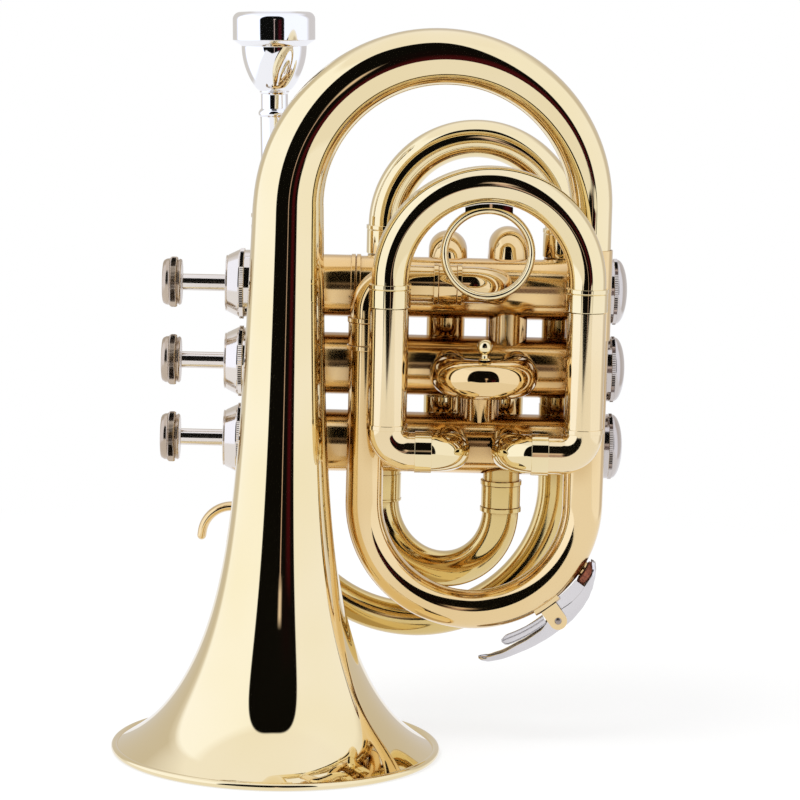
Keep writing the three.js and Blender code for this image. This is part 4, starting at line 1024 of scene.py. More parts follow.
def slide_bow(width, bow_tube, outer_tube, ferrule, overlap, base, up, across, bow_drop=0.0, rings=True):
    """A moving U: the bow, a ferrule on each end of it and the two inner legs below them."""
    leg_radius = outer_tube - TUBE_WALL - SLIDE_GAP
    bore = bow_tube + SLEEVE_GAP
    bottom = -bow_drop - ferrule
    start = base - across * (width / 2) + up * bottom
    route = Route(start, up, across).straight(-bottom).bend(width / 2, 180, across).straight(-bottom)
    skin = Skin().tube(route, bow_tube, bow_tube - leg_radius - SLEEVE_GAP)
    leg = band(leg_radius - LEG_WALL, leg_radius, bottom - overlap, bottom + BEAD_LENGTH)
    collar = band(bore, bow_tube + COLLAR_WALL, bottom, bottom + COLLAR_LENGTH)
    if rings:
        radius = outer_tube + FERRULE_WALL
        crest = radius + BEAD_HEIGHT / 2
        step = -bow_drop - BEAD_LENGTH
        collar = [
            (bore, bottom), (radius, bottom), (radius, step - EDGE_ROUND),
            (radius - FERRULE_WALL / 2, step), (crest, step + EDGE_ROUND), (crest, -bow_drop),
            (bore, -bow_drop),
        ]
    for sign in (-1, 1):
        foot = base + across * (sign * width / 2)
        skin.turned(leg, foot, up, across, TUBE_SIDES)
        skin.turned(collar, foot, up, across)
    return skin


# First slide, on the back
for place, side_name, dome_radius in zip(FIRST_PORT_PLACES, ("left", "right"), FIRST_DOME_RADII):
    heading = port_heading(FIRST_PORT_ANGLE)
    drop_out = dome_radius * (1 + math.sin(math.radians(FIRST_PORT_ANGLE)))
    rise = (FIRST_LEG_DEPTH - drop_out) / heading.y
    route = Route(axis_point(1, place) + heading * rise, heading, X)
    route.bend(dome_radius, 270 - FIRST_PORT_ANGLE, port_heading(FIRST_PORT_ANGLE + 90))
    route.straight(route.end.point.z - FIRST_LEG_BOTTOM)
    skin = Skin().tube(route, FIRST_TUBE_RADIUS, seat_start=seat_on(1))
    foot = Vector((place, VALVE_DEPTH + FIRST_LEG_DEPTH, FIRST_LEG_BOTTOM))
    skin = bead_round(skin, FIRST_TUBE_RADIUS, foot, Z, X)
    dress("first_outer_leg_" + side_name, skin, golden_brass)

first_width = FIRST_PORT_PLACES[1] - FIRST_PORT_PLACES[0]
dress("first_slide", slide_bow(
    first_width, FIRST_BOW_TUBE_RADIUS, FIRST_TUBE_RADIUS,
    FIRST_LEG_BOTTOM - BUTT_GAP - FIRST_BOW_HEIGHT, FIRST_LEG_OVERLAP,
    Vector((FIRST_PORT_PLACES[0] + first_width / 2, VALVE_DEPTH + FIRST_LEG_DEPTH, FIRST_BOW_HEIGHT)),
    -Z, X), brass)

# Second slide, a short U towards the front with its pull knob
second_stub_end = VALVE_DEPTH - CASING_RADIUS - SECOND_STUB_LENGTH
for place, side_name in zip(SECOND_PORT_PLACES, ("left", "right")):
    route = Route(axis_point(2, place) - Y * CASING_RADIUS, -Y, X).straight(SECOND_STUB_LENGTH)
    skin = Skin().tube(route, SECOND_TUBE_RADIUS, seat_start=seat_on(2))
    foot = Vector((place, second_stub_end, valve_height(2)))
    skin = bead_round(skin, SECOND_TUBE_RADIUS, foot, Y, X)
    dress("second_outer_tube_" + side_name, skin, golden_brass)

second_width = SECOND_PORT_PLACES[1] - SECOND_PORT_PLACES[0]
second_base = Vector((
    SECOND_PORT_PLACES[0] + second_width / 2,
    second_stub_end - BUTT_GAP - SECOND_FERRULE_LENGTH,
    valve_height(2),
))
dress("second_slide", slide_bow(
    second_width, SECOND_TUBE_RADIUS, SECOND_TUBE_RADIUS, SECOND_FERRULE_LENGTH,
    SECOND_LEG_OVERLAP, second_base, -Y, -X, rings=False), golden_brass)
knob_middle = KNOB_RISE_SHARE * KNOB_RADIUS
knob_turn = math.radians(KNOB_PLACE_DEGREES)
knob_base = second_base - (X * math.cos(knob_turn) + Y * math.sin(knob_turn)) * (second_width / 2)
knob_base += Z * (SECOND_TUBE_RADIUS + BUTT_GAP / 2)
dress("second_slide_knob", Skin().turned([
    (0, 0),
    (2 * KNOB_NECK_RADIUS, 0),
    (KNOB_FILLET_SHARE * KNOB_NECK_RADIUS, KNOB_NECK_RADIUS / 2),
    (KNOB_NECK_RADIUS, KNOB_NECK_RADIUS),
    (KNOB_NECK_RADIUS, knob_middle - KNOB_RADIUS),
    *arc((0, knob_middle), (KNOB_RADIUS, KNOB_RADIUS), *KNOB_BALL_DEGREES, 22),
    (0, knob_middle + KNOB_RADIUS),
], knob_base, Z, X, TUBE_SIDES), brass)

# Third slide, a tall U across the front with its finger ring
third_leg_top = THIRD_FERRULE_TOP - THIRD_FERRULE_LENGTH - BUTT_GAP
third_heading = port_heading(third_port_degrees)
for side_name, place, sign in zip(("left", "right"), THIRD_PORT_PLACES, (-1, 1)):
    out = X * sign
    run_start = math.hypot(VALVE_DEPTH - THIRD_DEPTH, THIRD_RUN_RISE) - THIRD_ELBOW_RADIUS
    elbow_route = Route(axis_point(3, place) + third_heading * CASING_RADIUS, third_heading, X)
    elbow_route.straight(run_start - CASING_RADIUS).bend(THIRD_ELBOW_RADIUS, 90, out)
    seam = elbow_route.end.point
    skin = Skin().tube(elbow_route, THIRD_TUBE_RADIUS, seat_start=seat_on(3))
    sleeve = plain_sleeve(THIRD_TUBE_RADIUS + SLEEVE_GAP, THIRD_BAND_LENGTH)
    skin.turned(sleeve, seam - out * THIRD_BAND_REACH, out, Y)
    dress("third_port_elbow_" + side_name, skin, brass)

    leg_place = THIRD_CENTRE + sign * THIRD_LEG_WIDTH / 2
    leg_foot = Vector((leg_place, THIRD_DEPTH, third_run_height + THIRD_CORNER_RADIUS))
    leg_start = seam + out * BUTT_GAP
    leg_route = Route(leg_start, out, Y)
    leg_route.straight(sign * (leg_place - leg_start.x) - THIRD_CORNER_RADIUS)
    leg_route.bend(THIRD_CORNER_RADIUS, 90, Z).straight(third_leg_top - leg_foot.z)
    skin = bead_round(Skin().tube(leg_route, THIRD_TUBE_RADIUS), THIRD_TUBE_RADIUS, leg_foot, Z, X)
    dress("third_outer_leg_" + side_name, skin, satin_brass)

third_base = Vector((THIRD_CENTRE, THIRD_DEPTH, THIRD_BOW_HEIGHT))
dress("third_slide", slide_bow(
    THIRD_LEG_WIDTH, THIRD_BOW_TUBE_RADIUS, THIRD_TUBE_RADIUS, THIRD_FERRULE_LENGTH,
    THIRD_LEG_OVERLAP, third_base, Z, X, bow_drop=THIRD_BOW_HEIGHT - THIRD_FERRULE_TOP), brass)


def make_ring():
    """The finger ring, and the curved foot that holds it under the bow."""
    bow_inside = THIRD_LEG_WIDTH / 2 - THIRD_BOW_TUBE_RADIUS
    drop = bow_inside - RING_DROP - RING_RADIUS
    middle = RING_RADIUS - RING_THICKNESS / 2
    profile = arc((middle, 0), (-RING_THICKNESS / 2, RING_WIDTH / 2), 0, 360, 32)[:-1]
    skin = Skin().turned(profile, third_base + X * RING_SHIFT + Z * drop, -Y, X)
    half_width = RING_FOOT_WIDTH / 2
    sections = []
    for across in spread(-half_width, half_width, 24):
        top = math.sqrt((bow_inside - BUTT_GAP / 2)**2 - (across + RING_SHIFT)**2)
        low = drop + math.sqrt(middle**2 - across**2)
        taper = math.sqrt(1 - RING_FOOT_TAPER * (across / half_width)**2)
        depth = RING_FOOT_DEPTH_SHARE * RING_WIDTH * taper
        place = third_base + X * (across + RING_SHIFT)
        corners = ((low, -depth), (low, depth), (top, depth), (top, -depth))
        sections.append([place + Z * height + Y * back for height, back in corners])
    return skin.capped(sections)


dress("third_slide_ring", make_ring(), brass)

# Leadpipe, receiver and mouthpiece
lean = math.radians(PIPE_LEAN_DEGREES)
pipe_down = X * math.sin(lean) - Z * math.cos(lean)
pipe_across = X * math.cos(lean) + Z * math.sin(lean)
mouth = Vector((MOUTH_PLACE, PIPE_DEPTH, MOUTH_TOP))
receiver_start = MOUTHPIECE_LENGTH - MOUTHPIECE_INSERTION
pipe_start = mouth + pipe_down * (receiver_start + RECEIVER_LENGTH - RECEIVER_OVERLAP)
pipe_route = Route(pipe_start, pipe_down, pipe_across)
pipe_route.straight((pipe_start.z - BACK_BOW_HEIGHT) / math.cos(lean))
pipe_route.bend(BACK_BOW_RADIUS, 180 - PIPE_LEAN_DEGREES, pipe_across)
tuning_right_place = pipe_route.end.point.x
pipe_route.straight(TUNING_SEAM_HEIGHT - BUTT_GAP / 2 - pipe_route.end.point.z)


def pipe_skin(run):
    return lerp(PIPE_START_RADIUS, PIPE_RADIUS, run / pipe_route.end.run)


dress("leadpipe", Skin().tube(pipe_route, pipe_skin), pipe_brass)


def shank_at(distance):
    start = CUP_BASE_PLACE + NECK_LENGTH + MOUTHPIECE_BEAD_LENGTH
    return lerp(SHANK_RADIUS, SHANK_END_RADIUS, (distance - start) / (MOUTHPIECE_LENGTH - start))


receiver_bore = shank_at(receiver_start) + RECEIVER_PLAY
receiver_groove = RECEIVER_MOUTH_RADIUS - RECEIVER_GROOVE_DEPTH
pipe_socket = pipe_skin(RECEIVER_OVERLAP) + SLEEVE_GAP
socket_end = RECEIVER_LENGTH - RECEIVER_OVERLAP - BUTT_GAP
dress("mouthpiece_receiver", Skin().turned([
    (receiver_bore, 0),
    (RECEIVER_MOUTH_RADIUS, 0),
    (RECEIVER_MOUTH_RADIUS, RECEIVER_LIP_LENGTH),
    (receiver_groove, RECEIVER_GROOVE_PLACE),
    (receiver_groove, RECEIVER_COLLAR_LENGTH - RECEIVER_GROOVE_PLACE),
    (RECEIVER_MOUTH_RADIUS, RECEIVER_COLLAR_LENGTH - RECEIVER_LIP_LENGTH),
    (RECEIVER_MOUTH_RADIUS, RECEIVER_COLLAR_LENGTH),
    (RECEIVER_RADIUS, RECEIVER_COLLAR_LENGTH + BEAD_HEIGHT),
    (pipe_socket + 2 * FERRULE_WALL, RECEIVER_LENGTH),
    (pipe_socket, RECEIVER_LENGTH),
    (pipe_socket, socket_end),
    (receiver_bore, socket_end),
], mouth + pipe_down * receiver_start, pipe_down, pipe_across), brass)


def mouthpiece_profile():
    """The mouthpiece from the rim down: crown, cup, neck, bead and shank, then its bore back up."""
    neck_end = CUP_BASE_PLACE + NECK_LENGTH
    crown = 2 * RIM_WIRE_RADIUS
    step_out, step_up = CUP_STEP_ROUND
    cup_round = [
        (lerp(CUP_BASE_RADIUS, CUP_STEP_RADIUS, math.cos(share * math.pi / 2)**CUP_ROUND_POWER),
         lerp(CUP_STEP_PLACE, CUP_BASE_PLACE, share))
        for share in spread(0, 1, 20)
    ]
    bead = [
        (lerp(NECK_RADIUS, MOUTHPIECE_BEAD_RADIUS, math.sin(share * math.pi)),
         neck_end + MOUTHPIECE_BEAD_LENGTH * share)
        for share in spread(0, MOUTHPIECE_BEAD_SHARE, 10)
    ]
    cup_size = (CUP_MOUTH_RADIUS - THROAT_RADIUS, CUP_DEPTH - CUP_LIP_DEPTH)
    return [
        (CUP_MOUTH_RADIUS + RIM_WIRE_RADIUS, 0),
        (CUP_RIM_RADIUS - crown, 0),
        *arc((CUP_RIM_RADIUS - crown, crown), (crown, -crown), CROWN_DEGREES, 0, 8),
        (CUP_RIM_RADIUS, CUP_RIM_LENGTH),
        (CUP_STEP_RADIUS + step_out, CUP_STEP_PLACE - step_up),
        *cup_round,
        (NECK_RADIUS + NECK_ROUND, CUP_BASE_PLACE + NECK_ROUND / 2),
        (NECK_RADIUS, CUP_BASE_PLACE + 2 * NECK_ROUND),
        *bead,
        (SHANK_RADIUS, neck_end + MOUTHPIECE_BEAD_LENGTH),
        (SHANK_END_RADIUS, MOUTHPIECE_LENGTH),
        (BACKBORE_RADIUS, MOUTHPIECE_LENGTH),
        (THROAT_RADIUS, CUP_DEPTH + CUP_RIM_LENGTH),
        *arc((THROAT_RADIUS, CUP_LIP_DEPTH), cup_size, *CUP_DEGREES, 12),
        (CUP_MOUTH_RADIUS, CUP_LIP_DEPTH),
    ]


dress("mouthpiece", Skin().turned(mouthpiece_profile(), mouth, pipe_down, pipe_across), silver)

# Tuning slide and its outer tubes, and the entry bow into valve 3
tuning_ferrule_bottom = TUNING_FERRULE_TOP - TUNING_FERRULE_LENGTH
tuning_width = tuning_right_place - TUNING_LEFT_PLACE
entry_across = Vector((ENTRY_PORT_PLACE - TUNING_LEFT_PLACE, VALVE_DEPTH - PIPE_DEPTH, 0))
entry_seam_height = ENTRY_BOW_HEIGHT + TUNING_SOCKET_LENGTH / 2


def outer_tuning_tube(place, bottom, joined_radius):
    """An outer tube, with the socket at its foot that takes the end of the bow below it."""
    length = tuning_ferrule_bottom - BUTT_GAP - bottom
    socket = TUNING_SOCKET_LENGTH / 2
    bore = joined_radius + SLEEVE_GAP
    skin_radius = max(joined_radius, TUNING_TUBE_RADIUS) + FERRULE_WALL
    waist = skin_radius - FERRULE_WALL / 2
    return Skin().turned([
        (bore, -socket),
        (skin_radius, -socket),
        (skin_radius, -socket + BEAD_LENGTH / 2),
        (waist, -socket + BEAD_LENGTH / 2),
        (waist, socket),
        (TUNING_TUBE_RADIUS, socket),
        (TUNING_TUBE_RADIUS, length),
        (TUNING_TUBE_RADIUS - TUBE_WALL, length),
        (TUNING_TUBE_RADIUS - TUBE_WALL, 0),
        (bore, 0),
    ], Vector((place, PIPE_DEPTH, bottom)), Z, X)


for side_name, place, bottom, joined_radius in (
    ("right", tuning_right_place, TUNING_SEAM_HEIGHT, PIPE_RADIUS),
    ("left", TUNING_LEFT_PLACE, entry_seam_height, ENTRY_TUBE_RADIUS),
):
    dress("tuning_outer_" + side_name, outer_tuning_tube(place, bottom, joined_radius), pipe_brass)
tuning_base = Vector((TUNING_LEFT_PLACE + tuning_width / 2, PIPE_DEPTH, TUNING_FERRULE_TOP))
dress("tuning_slide", slide_bow(
    tuning_width, TUNING_BOW_TUBE_RADIUS, TUNING_TUBE_RADIUS, TUNING_FERRULE_LENGTH,
    TUNING_LEG_OVERLAP, tuning_base, Z, X), brass)

entry_start = Vector((TUNING_LEFT_PLACE, PIPE_DEPTH, entry_seam_height - BUTT_GAP / 2))
entry_route = Route(entry_start, -Z, X)
entry_route.straight(entry_start.z - ENTRY_BOW_HEIGHT)
entry_route.bend(entry_across.length / 2, 180, entry_across)
entry_route.straight(valve_height(3) - CASING_RADIUS - ENTRY_BOW_HEIGHT)
dress("entry_bow", Skin().tube(entry_route, ENTRY_TUBE_RADIUS, seat_end=seat_on(3)).turned(
    beaded_sleeve(ENTRY_TUBE_RADIUS + SLEEVE_GAP, ENTRY_FERRULE_LENGTH),
    Vector((ENTRY_PORT_PLACE, VALVE_DEPTH, ENTRY_BOW_HEIGHT)), Z, X), pipe_brass)


# Finger hook on the back bow's left shoulder
def make_hook():
    """A bar of oval section that curls down from the bow, and its pad bent round the bow."""
    turn = math.asin((BACK_BOW_HEIGHT - HOOK_HEIGHT) / BACK_BOW_RADIUS)
    out = -X * math.cos(turn) - Z * math.sin(turn)
    along = X * math.sin(turn) - Z * math.cos(turn)
    bow_centre = Vector((tuning_right_place - BACK_BOW_RADIUS, PIPE_DEPTH, BACK_BOW_HEIGHT))
    root = bow_centre + out * BACK_BOW_RADIUS
    skin_radius = pipe_skin((pipe_start.z - HOOK_HEIGHT) / math.cos(lean))
    route = Route(root + out * (skin_radius + 2 * BUTT_GAP), -X, Z).straight(HOOK_REACH)
    route.bend(HOOK_BEND_RADIUS, HOOK_BEND_DEGREES, -Z).straight(HOOK_TIP_LENGTH)
    oval = arc((0, 0), (HOOK_THICKNESS / 2, HOOK_WIDTH / 2), 0, 360, 32)[:-1]
    rings = []
    for station in route.stations:
        across = station.heading.cross(station.side)
        rings.append([station.point + station.side * rise + across * wide for rise, wide in oval])
    tip = route.end
    last = rings[-1]
    for shrink, ahead in arc((0, 0), (1, HOOK_THICKNESS / 2), 0, 90, 8)[1:-1]:
        nose = tip.point + tip.heading * ahead
        rings.append([nose + (point - tip.point) * shrink for point in last])
    start = [route.stations[0].point.copy()]
    end = [tip.point + tip.heading * (HOOK_THICKNESS / 2)]
    skin = Skin().loft([start, *rings, end], closed=False)
    low = skin_radius + SLEEVE_GAP
    pad = []
    for place in spread(-HOOK_PAD_LENGTH / 2, HOOK_PAD_LENGTH / 2, 16):
        share = 1 - (2 * place / HOOK_PAD_LENGTH)**HOOK_PAD_POWER
        reach = HOOK_PAD_DEGREES * math.sqrt(max(share, HOOK_PAD_END_WIDTH))
        high = low + HOOK_PAD_THICKNESS * max(share, HOOK_PAD_END_THICKNESS)
        bow_turn = place / (BACK_BOW_RADIUS + skin_radius)
        facing = out * math.cos(bow_turn) + along * math.sin(bow_turn)
        centre = root + (facing - out) * BACK_BOW_RADIUS
        section = arc((0, 0), (low, low), -reach, reach, 12)
        section += arc((0, 0), (high, high), reach, -reach, 12)
        pad.append([centre + facing * rise + Y * wide for rise, wide in section])
    return skin.capped(pad)


dress("finger_hook", make_hook(), golden_brass)

# Water key
saddle_skin = LOWER_BOW_RADIUS + branch_skin_at(KEY_PIVOT_DEGREES)
pivot_radius = saddle_skin + PIVOT_RISE
cork_base = nipple_top + BUTT_GAP
cork_top = cork_base + CORK_THICKNESS
key_pivot = key_point(pivot_radius, KEY_PIVOT_DEGREES)


def lever_at(degrees):
    """The lever's crest radius, half its width and the depths of its two lips at an angle."""
    for (start, *low), (end, *high) in zip(LEVER_STOPS, LEVER_STOPS[1:]):
        if degrees <= end:
            break
    share = smoothstep(degrees, start, end) / 2 + min(max((degrees - start) / (end - start), 0), 1) / 2
    return [lerp(first, last, share) for first, last in zip(low, high)]


def lever_section(degrees):
    """The lever's cross-section: a channel with rounded edges and its lips towards the bow."""
    crest, half_width, front_lip, rear_lip = lever_at(degrees)
    corner = min(LEVER_CORNER, LEVER_CORNER_SHARE * half_width)
    shells = []
    for inset in (0, min(LEVER_THICKNESS, LEVER_WALL_SHARE * half_width)):
        reach = corner - min(inset, LEVER_INSET_SHARE * corner)
        side = half_width - inset
        front = arc((side - reach, -inset - reach), (reach, reach), 0, 90, 6)
        rear = [(-across, rise) for across, rise in front[::-1]]
        shells.append([(side, -front_lip), *front, *rear, (-side, -rear_lip)])
    return [key_point(crest + rise, degrees, across) for across, rise in shells[0] + shells[1][::-1]]


def make_lever():
    """A channel that follows the bow, cups the cork at one end and runs out to a point at the other."""
    degrees_along = spread(LEVER_STOPS[0][0], LEVER_STOPS[-1][0], 72)
    skin = Skin().capped([lever_section(degrees) for degrees in degrees_along])
    web = []
    for degrees in spread(*WEB_DEGREES, 12):
        crest, half_width = lever_at(degrees)[:2]
        top = crest - LEVER_THICKNESS
        back = half_width - LEVER_THICKNESS
        front = back + LEAF_THICKNESS
        corners = ((WEB_RADIUS, front), (top, front), (top, back), (WEB_RADIUS, back))
        web.append([key_point(radius, degrees, across) for radius, across in corners])
    half = HINGE_BARREL_WIDTH / 2
    barrel = band(HINGE_PIN_RADIUS + HINGE_GAP, HINGE_BARREL_RADIUS, -half, half)
    return skin.capped(web).turned(barrel, key_pivot, Y, X, TUBE_SIDES)


dress("water_key_lever", make_lever(), key_nickel)
dress("water_key_cork", Skin().turned([
    (0, cork_base), (CORK_RADIUS, cork_base), (CORK_RADIUS, cork_top), (CORK_PLUG_RADIUS, cork_top),
    (CORK_PLUG_RADIUS, cork_top + CORK_PLUG_RISE), (0, cork_top + CORK_PLUG_RISE),
], key_centre, key_heading(CORK_DEGREES), Y, TUBE_SIDES, round_by=CORK_ROUND), cork)

ear_inside = LEVER_WIDTH / 2 + HINGE_GAP
ear_outside = ear_inside + EAR_THICKNESS
pivot_facing = key_heading(KEY_PIVOT_DEGREES)
pivot_beside = pivot_facing.cross(Y)


def make_saddle():
    """Two ears that hold the pin, on a saddle bent round the bow."""
    foot = EAR_FOOT_RISE - PIVOT_RISE
    top = arc((0, 0), (EAR_RADIUS, EAR_RADIUS), 180, 0, 24)
    outline = [(-EAR_RADIUS, foot), *top, (EAR_RADIUS, foot)]
    skin = Skin()
    for fronts in ((-ear_outside, -ear_inside), (ear_inside, ear_outside)):
        skin.capped([
            [key_pivot - Y * front + pivot_beside * wide + pivot_facing * rise for wide, rise in outline]
            for front in fronts
        ])
    half_turn = SADDLE_DEGREES / 2
    fronts = spread(-ear_outside, ear_outside, 14)
    sections = []
    for degrees in spread(KEY_PIVOT_DEGREES - half_turn, KEY_PIVOT_DEGREES + half_turn, 10):
        tube = branch_skin_at(degrees)
        low, high = (
            [key_point(LOWER_BOW_RADIUS + math.sqrt(radius**2 - f * f), degrees, f) for f in fronts]
            for radius in (tube + SLEEVE_GAP, tube + SADDLE_THICKNESS)
        )
        sections.append(low + high[::-1])
    return skin.capped(sections)


def make_hinge_pin():
    """A pin with a domed head on each side of the ears."""
    head = arc((0, ear_outside), (PIN_HEAD_RADIUS, PIN_HEAD_RISE), 0, 90, 8)[:-1]
    half = [(HINGE_PIN_RADIUS, ear_outside), *head, (0, ear_outside + PIN_HEAD_RISE)]
    profile = [(radius, -height) for radius, height in half[::-1]] + half
    return Skin().turned(profile, key_pivot, Y, X, TUBE_SIDES)


dress("water_key_saddle", make_saddle(), golden_brass)
dress("water_key_saddle", make_hinge_pin(), pin_nickel, name="water_key_pin")


def make_key_spring():
    """A coil round the pin, and a leaf with a skirt that narrows towards its end."""
    coil_radius = HINGE_PIN_RADIUS + HINGE_GAP + SPRING_WIRE_RADIUS
    coil_start = HINGE_BARREL_WIDTH / 2 + HINGE_GAP + SPRING_WIRE_RADIUS
    coil = []
    for turn in spread(0, 2 * math.pi, 32):
        out = pivot_beside * math.cos(turn) + pivot_facing * math.sin(turn)
        front = coil_start + SPRING_WIRE_RADIUS * turn / math.pi
        coil.append(key_pivot - Y * front + out * coil_radius)
    skin = Skin().wire(coil, SPRING_WIRE_RADIUS)
    front = LEVER_WIDTH / 2 - LEVER_THICKNESS
    back = front - LEAF_THICKNESS
    sections = []
    for share in spread(0, 1, 18):
        degrees = lerp(LEAF_ROOT_DEGREES, LEAF_TIP_DEGREES, share)
        top = lerp(LEAF_ROOT_RADIUS, LEAF_TIP_RADIUS, share)
        past_nose = max(share - 1 + LEAF_NOSE_SHARE, 0) / LEAF_NOSE_SHARE
        nose = math.sqrt(max(1 - past_nose**2, LEAF_NOSE_END))
        low = top + lerp(LEAF_ROOT_SKIRT, LEAF_TIP_SKIRT, share) * nose
        rear = lerp(front, -front, nose)
        edge = lerp(low, lerp(LEAF_ROOT_EDGE, LEAF_TIP_EDGE, share), nose)
        roof = top + LEAF_THICKNESS
        outline = (
            (top, rear), (top, back), (edge, back), (edge, front),
            (low, front), (low, back), (roof, back), (roof, rear),
        )
        sections.append([key_point(radius, degrees, across) for radius, across in outline])
    skin.capped(sections)
    for corner in (3, 4):
        skin.wire([section[corner] for section in sections], LEAF_THICKNESS)
    crease = [section[3].lerp(section[4], LEAF_CREASE_SHARE) for section in sections]
    return skin.wire(crease, LEAF_THICKNESS)


dress("water_key_spring", make_key_spring(), key_nickel)

# Brace between the bell's stem and the middle casing
brace_start = bell_skin(valve_height(2)) + BUTT_GAP / 2
brace_length = VALVE_DEPTH - CASING_HEAD_RADIUS - BUTT_GAP / 2 - brace_start
brace_waist = BRACE_WAIST * BRACE_RADIUS
dress("bell_brace", Skin().turned([
    (0, 0),
    (BRACE_RADIUS, 0),
    (brace_waist, brace_length * BRACE_WAIST_PLACE),
    (brace_waist, brace_length * (1 - BRACE_WAIST_PLACE)),
    (BRACE_RADIUS, brace_length),
    (0, brace_length),
], Vector((BRACE_PLACE, brace_start, valve_height(2))), Y, X, TUBE_SIDES), brass)


# Studio, in metres: a pale table, a tent of light with a dark gap where the camera stands, and one
# soft lamp
ROOM_SHARE = 0.93
TABLE_COLOR = (0.99, 0.99, 0.99)
TABLE_REACH = 3.0
TABLE_FRONT = 0.87
TABLE_SIDE = 0.34
TABLE_SPLAY = 0.3
TABLE_NOTCH_PLACE = -0.12
TABLE_NOTCH_SLOPE = 0.8
TABLE_EDGE = 0.03
TABLE_SHEEN = (0.93, 0.94, 1.0)
SHADOW_SHARE = 0.3
SHADOW_REACH = 0.45
LAMP_SIZE = 0.5
LAMP_POWER = 4
LAMP_PLACE = (-0.35, -0.3, 0.9)
LAMP_AIM = (0, 0, 0.1)

# What a mirror sees round the table: panels by degrees round (0 at the camera, + to its right) and
# up, the softness of their edges, and their level or colour
WALL_COLOR = (1.0, 1.03, 1.16)
PANELS = {
    "back_left": ((-200, -121), (-60, 44), 9, (0.66, 0.63, 0.60)),
    "back_right": ((112, 200), (-60, 44), 9, (0.66, 0.63, 0.63)),
    "left_softbox": ((-121, -30), (-35, 57), 3, (1.12, 1.2, 1.45)),
    "right_softbox": ((20, 108), (-35, 59), 3, (1.02, 1.06, 1.2)),
}
WINDOW_MIDDLE = (-3.5, 23)
WINDOW_HALF_SIZE = (34.5, 39)
WINDOW_SIDE_POWER = 3.6
WINDOW_TOP_POWER = 4
WINDOW_BOTTOM_POWER = 6
WINDOW_EDGE = 0.07
WINDOW_COLOR = (0.004, 0.0038, 0.0035)
WINDOW_THINGS = {
    "red_curtain": ((14.5, 22.5), (-14, 11), 2.5, (0.055, 0.005, 0.009)),
    "red_shade": ((8, 22), (6, 28), 6, (0.006, 0.003, 0.0032)),
    "warm_spot": ((1, 6), (9, 17), 1.6, (0.80, 0.66, 0.60)),
    "thin_stand": ((2.2, 3.8), (-14, 9), 0.5, (0.62, 0.46, 0.44)),
}


def make_floor():
    """A table that is white to the camera, with a shadow, and has a notched front edge to mirrors."""
    size = TABLE_REACH
    mesh = bpy.data.meshes.new("floor")
    corners = [(-size, -size, 0), (size, -size, 0), (size, size, 0), (-size, size, 0)]
    mesh.from_pydata(corners, [], [(0, 1, 2, 3)])
    floor = add_object("floor", mesh)
    material, nodes, shader = new_material("pale_table", TABLE_COLOR, 1, 0)
    shader.inputs["Specular IOR Level"].default_value = 0
    plain = shader.outputs["BSDF"]
    white = nodes.add("Emission")["Emission"]
    sheen = nodes.add("Emission", {"Color": TABLE_SHEEN})["Emission"]
    beyond = nodes.add("BsdfTransparent")["BSDF"]

    def mix(factor, first, second):
        return nodes.add("MixShader", {"Fac": factor, 1: first, 2: second})["Shader"]

    def inside(spare, limit):
        return nodes.ramp(spare, limit - TABLE_EDGE, limit + TABLE_EDGE)

    place = nodes.add("NewGeometry")["Position"]
    distance = nodes.add("VectorMath", {0: place}, operation="LENGTH")["Value"]
    fade = nodes.ramp(distance, SHADOW_REACH / 2, SHADOW_REACH, 1 - SHADOW_SHARE, 1)
    split = nodes.add("SeparateXYZ", {"Vector": place})
    ahead = nodes.calc("MAXIMUM", nodes.calc("MULTIPLY", split["Y"], -1), 0)
    beside = nodes.calc("ABSOLUTE", split["X"])
    splay = nodes.calc("MULTIPLY", ahead, TABLE_SPLAY)
    wide = inside(nodes.calc("SUBTRACT", splay, beside), -TABLE_SIDE)
    from_notch = nodes.calc("ABSOLUTE", nodes.calc("SUBTRACT", split["X"], TABLE_NOTCH_PLACE))
    slope = nodes.calc("MULTIPLY", from_notch, TABLE_NOTCH_SLOPE)
    front = inside(nodes.calc("SUBTRACT", slope, ahead), -TABLE_FRONT)
    path = nodes.add("LightPath")
    shown = mix(path["Is Camera Ray"], plain, mix(fade, plain, white))
    shown = mix(path["Is Transmission Ray"], shown, white)
    shown = mix(path["Is Glossy Ray"], shown, mix(nodes.calc("MULTIPLY", front, wide), beyond, sheen))
    nodes.plug(shown, material.node_tree.nodes["Material Output"].inputs["Surface"])
    mesh.materials.append(material)


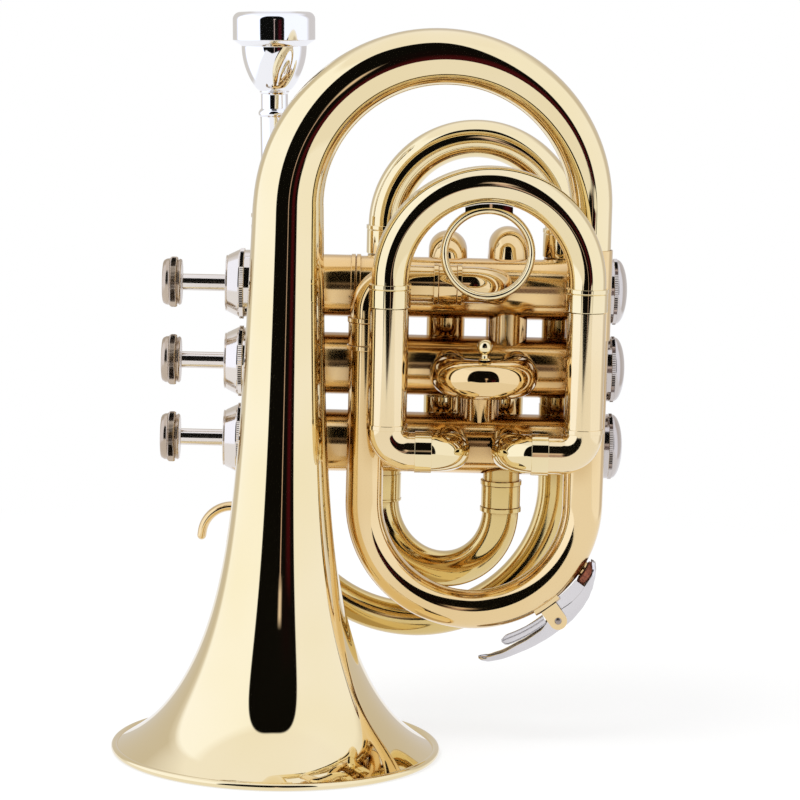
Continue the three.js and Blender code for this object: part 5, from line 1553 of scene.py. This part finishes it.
def make_world():
    """A tent of light for mirrors, white for the camera and glass, and even light for the rest."""
    world = bpy.data.worlds.new("studio")
    world.use_nodes = True
    bpy.context.scene.world = world
    world.node_tree.nodes.clear()
    nodes = Nodes(world.node_tree)
    split = nodes.add("SeparateXYZ", {"Vector": nodes.add("TexCoord")["Generated"]})
    ahead = nodes.calc("MULTIPLY", split["Y"], -1)
    turn = nodes.calc("DEGREES", nodes.calc("ARCTAN2", split["X"], ahead))
    rise = nodes.calc("DEGREES", nodes.calc("ARCSINE", split["Z"]))

    def inside(value, low, high, soft):
        past_low = nodes.ramp(value, low - soft, low + soft)
        return nodes.calc("MULTIPLY", past_low, nodes.ramp(value, high - soft, high + soft, 1, 0))

    def with_panels(color, panels):
        for turns, rises, soft, level in panels.values():
            mask = nodes.calc("MULTIPLY", inside(turn, *turns, soft), inside(rise, *rises, soft))
            color = nodes.mix(mask, color, level)
        return color

    def past(value, middle, half_size, power):
        offset = nodes.calc("DIVIDE", nodes.calc("SUBTRACT", value, middle), half_size)
        return nodes.calc("POWER", nodes.calc("MAXIMUM", offset, 0), power)

    middle_turn, middle_rise = WINDOW_MIDDLE
    half_width, half_height = WINDOW_HALF_SIZE
    edge = 0
    for value, middle, half_size, power in (
        (turn, middle_turn, half_width, WINDOW_SIDE_POWER),
        (turn, middle_turn, -half_width, WINDOW_SIDE_POWER),
        (rise, middle_rise, half_height, WINDOW_TOP_POWER),
        (rise, middle_rise, -half_height, WINDOW_BOTTOM_POWER),
    ):
        edge = nodes.calc("ADD", past(value, middle, half_size, power), edge)
    window = nodes.ramp(edge, 1 - WINDOW_EDGE, 1 + WINDOW_EDGE, 1, 0)
    tent = nodes.mix(window, with_panels(WALL_COLOR, PANELS), with_panels(WINDOW_COLOR, WINDOW_THINGS))
    path = nodes.add("LightPath")
    shown = nodes.mix(path["Is Glossy Ray"], ROOM_SHARE, tent)
    shown = nodes.mix(path["Is Camera Ray"], shown, 1)
    shown = nodes.mix(path["Is Transmission Ray"], shown, 1)
    background = nodes.add("Background", {"Color": shown})
    nodes.add("OutputWorld", {"Surface": background["Background"]})


def make_lamp():
    light = bpy.data.lights.new("overhead", "AREA")
    light.shape = "DISK"
    light.size = LAMP_SIZE
    light.energy = LAMP_POWER
    lamp = add_object("overhead", light)
    lamp.location = LAMP_PLACE
    lamp.rotation_euler = (Vector(LAMP_AIM) - lamp.location).to_track_quat("-Z", "Y").to_euler()
    lamp.visible_glossy = False


def make_camera():
    pitch = math.radians(CAMERA_PITCH_DEGREES)
    yaw = math.radians(CAMERA_YAW_DEGREES)
    roll = Matrix.Rotation(math.radians(CAMERA_ROLL_DEGREES), 3, "Y")
    right = roll @ Vector((math.cos(yaw), -math.sin(yaw), 0))
    level = Vector((math.sin(yaw), math.cos(yaw), 0))
    ahead = roll @ (level * math.cos(pitch) - Z * math.sin(pitch))
    data = bpy.data.cameras.new("camera")
    data.sensor_width = SENSOR_WIDTH
    data.lens = FOCAL_PIXELS * SENSOR_WIDTH / IMAGE_PIXELS
    data.clip_start, data.clip_end = CAMERA_CLIP
    camera = add_object("camera", data)
    turned = Matrix((right, right.cross(ahead), -ahead)).transposed()
    camera.matrix_world = Matrix.Translation(placed(Vector(CAMERA_PLACE))) @ turned.to_4x4()
    bpy.context.scene.camera = camera


make_floor()
make_world()
make_lamp()
make_camera()
bpy.context.scene.view_settings.view_transform = "Standard"
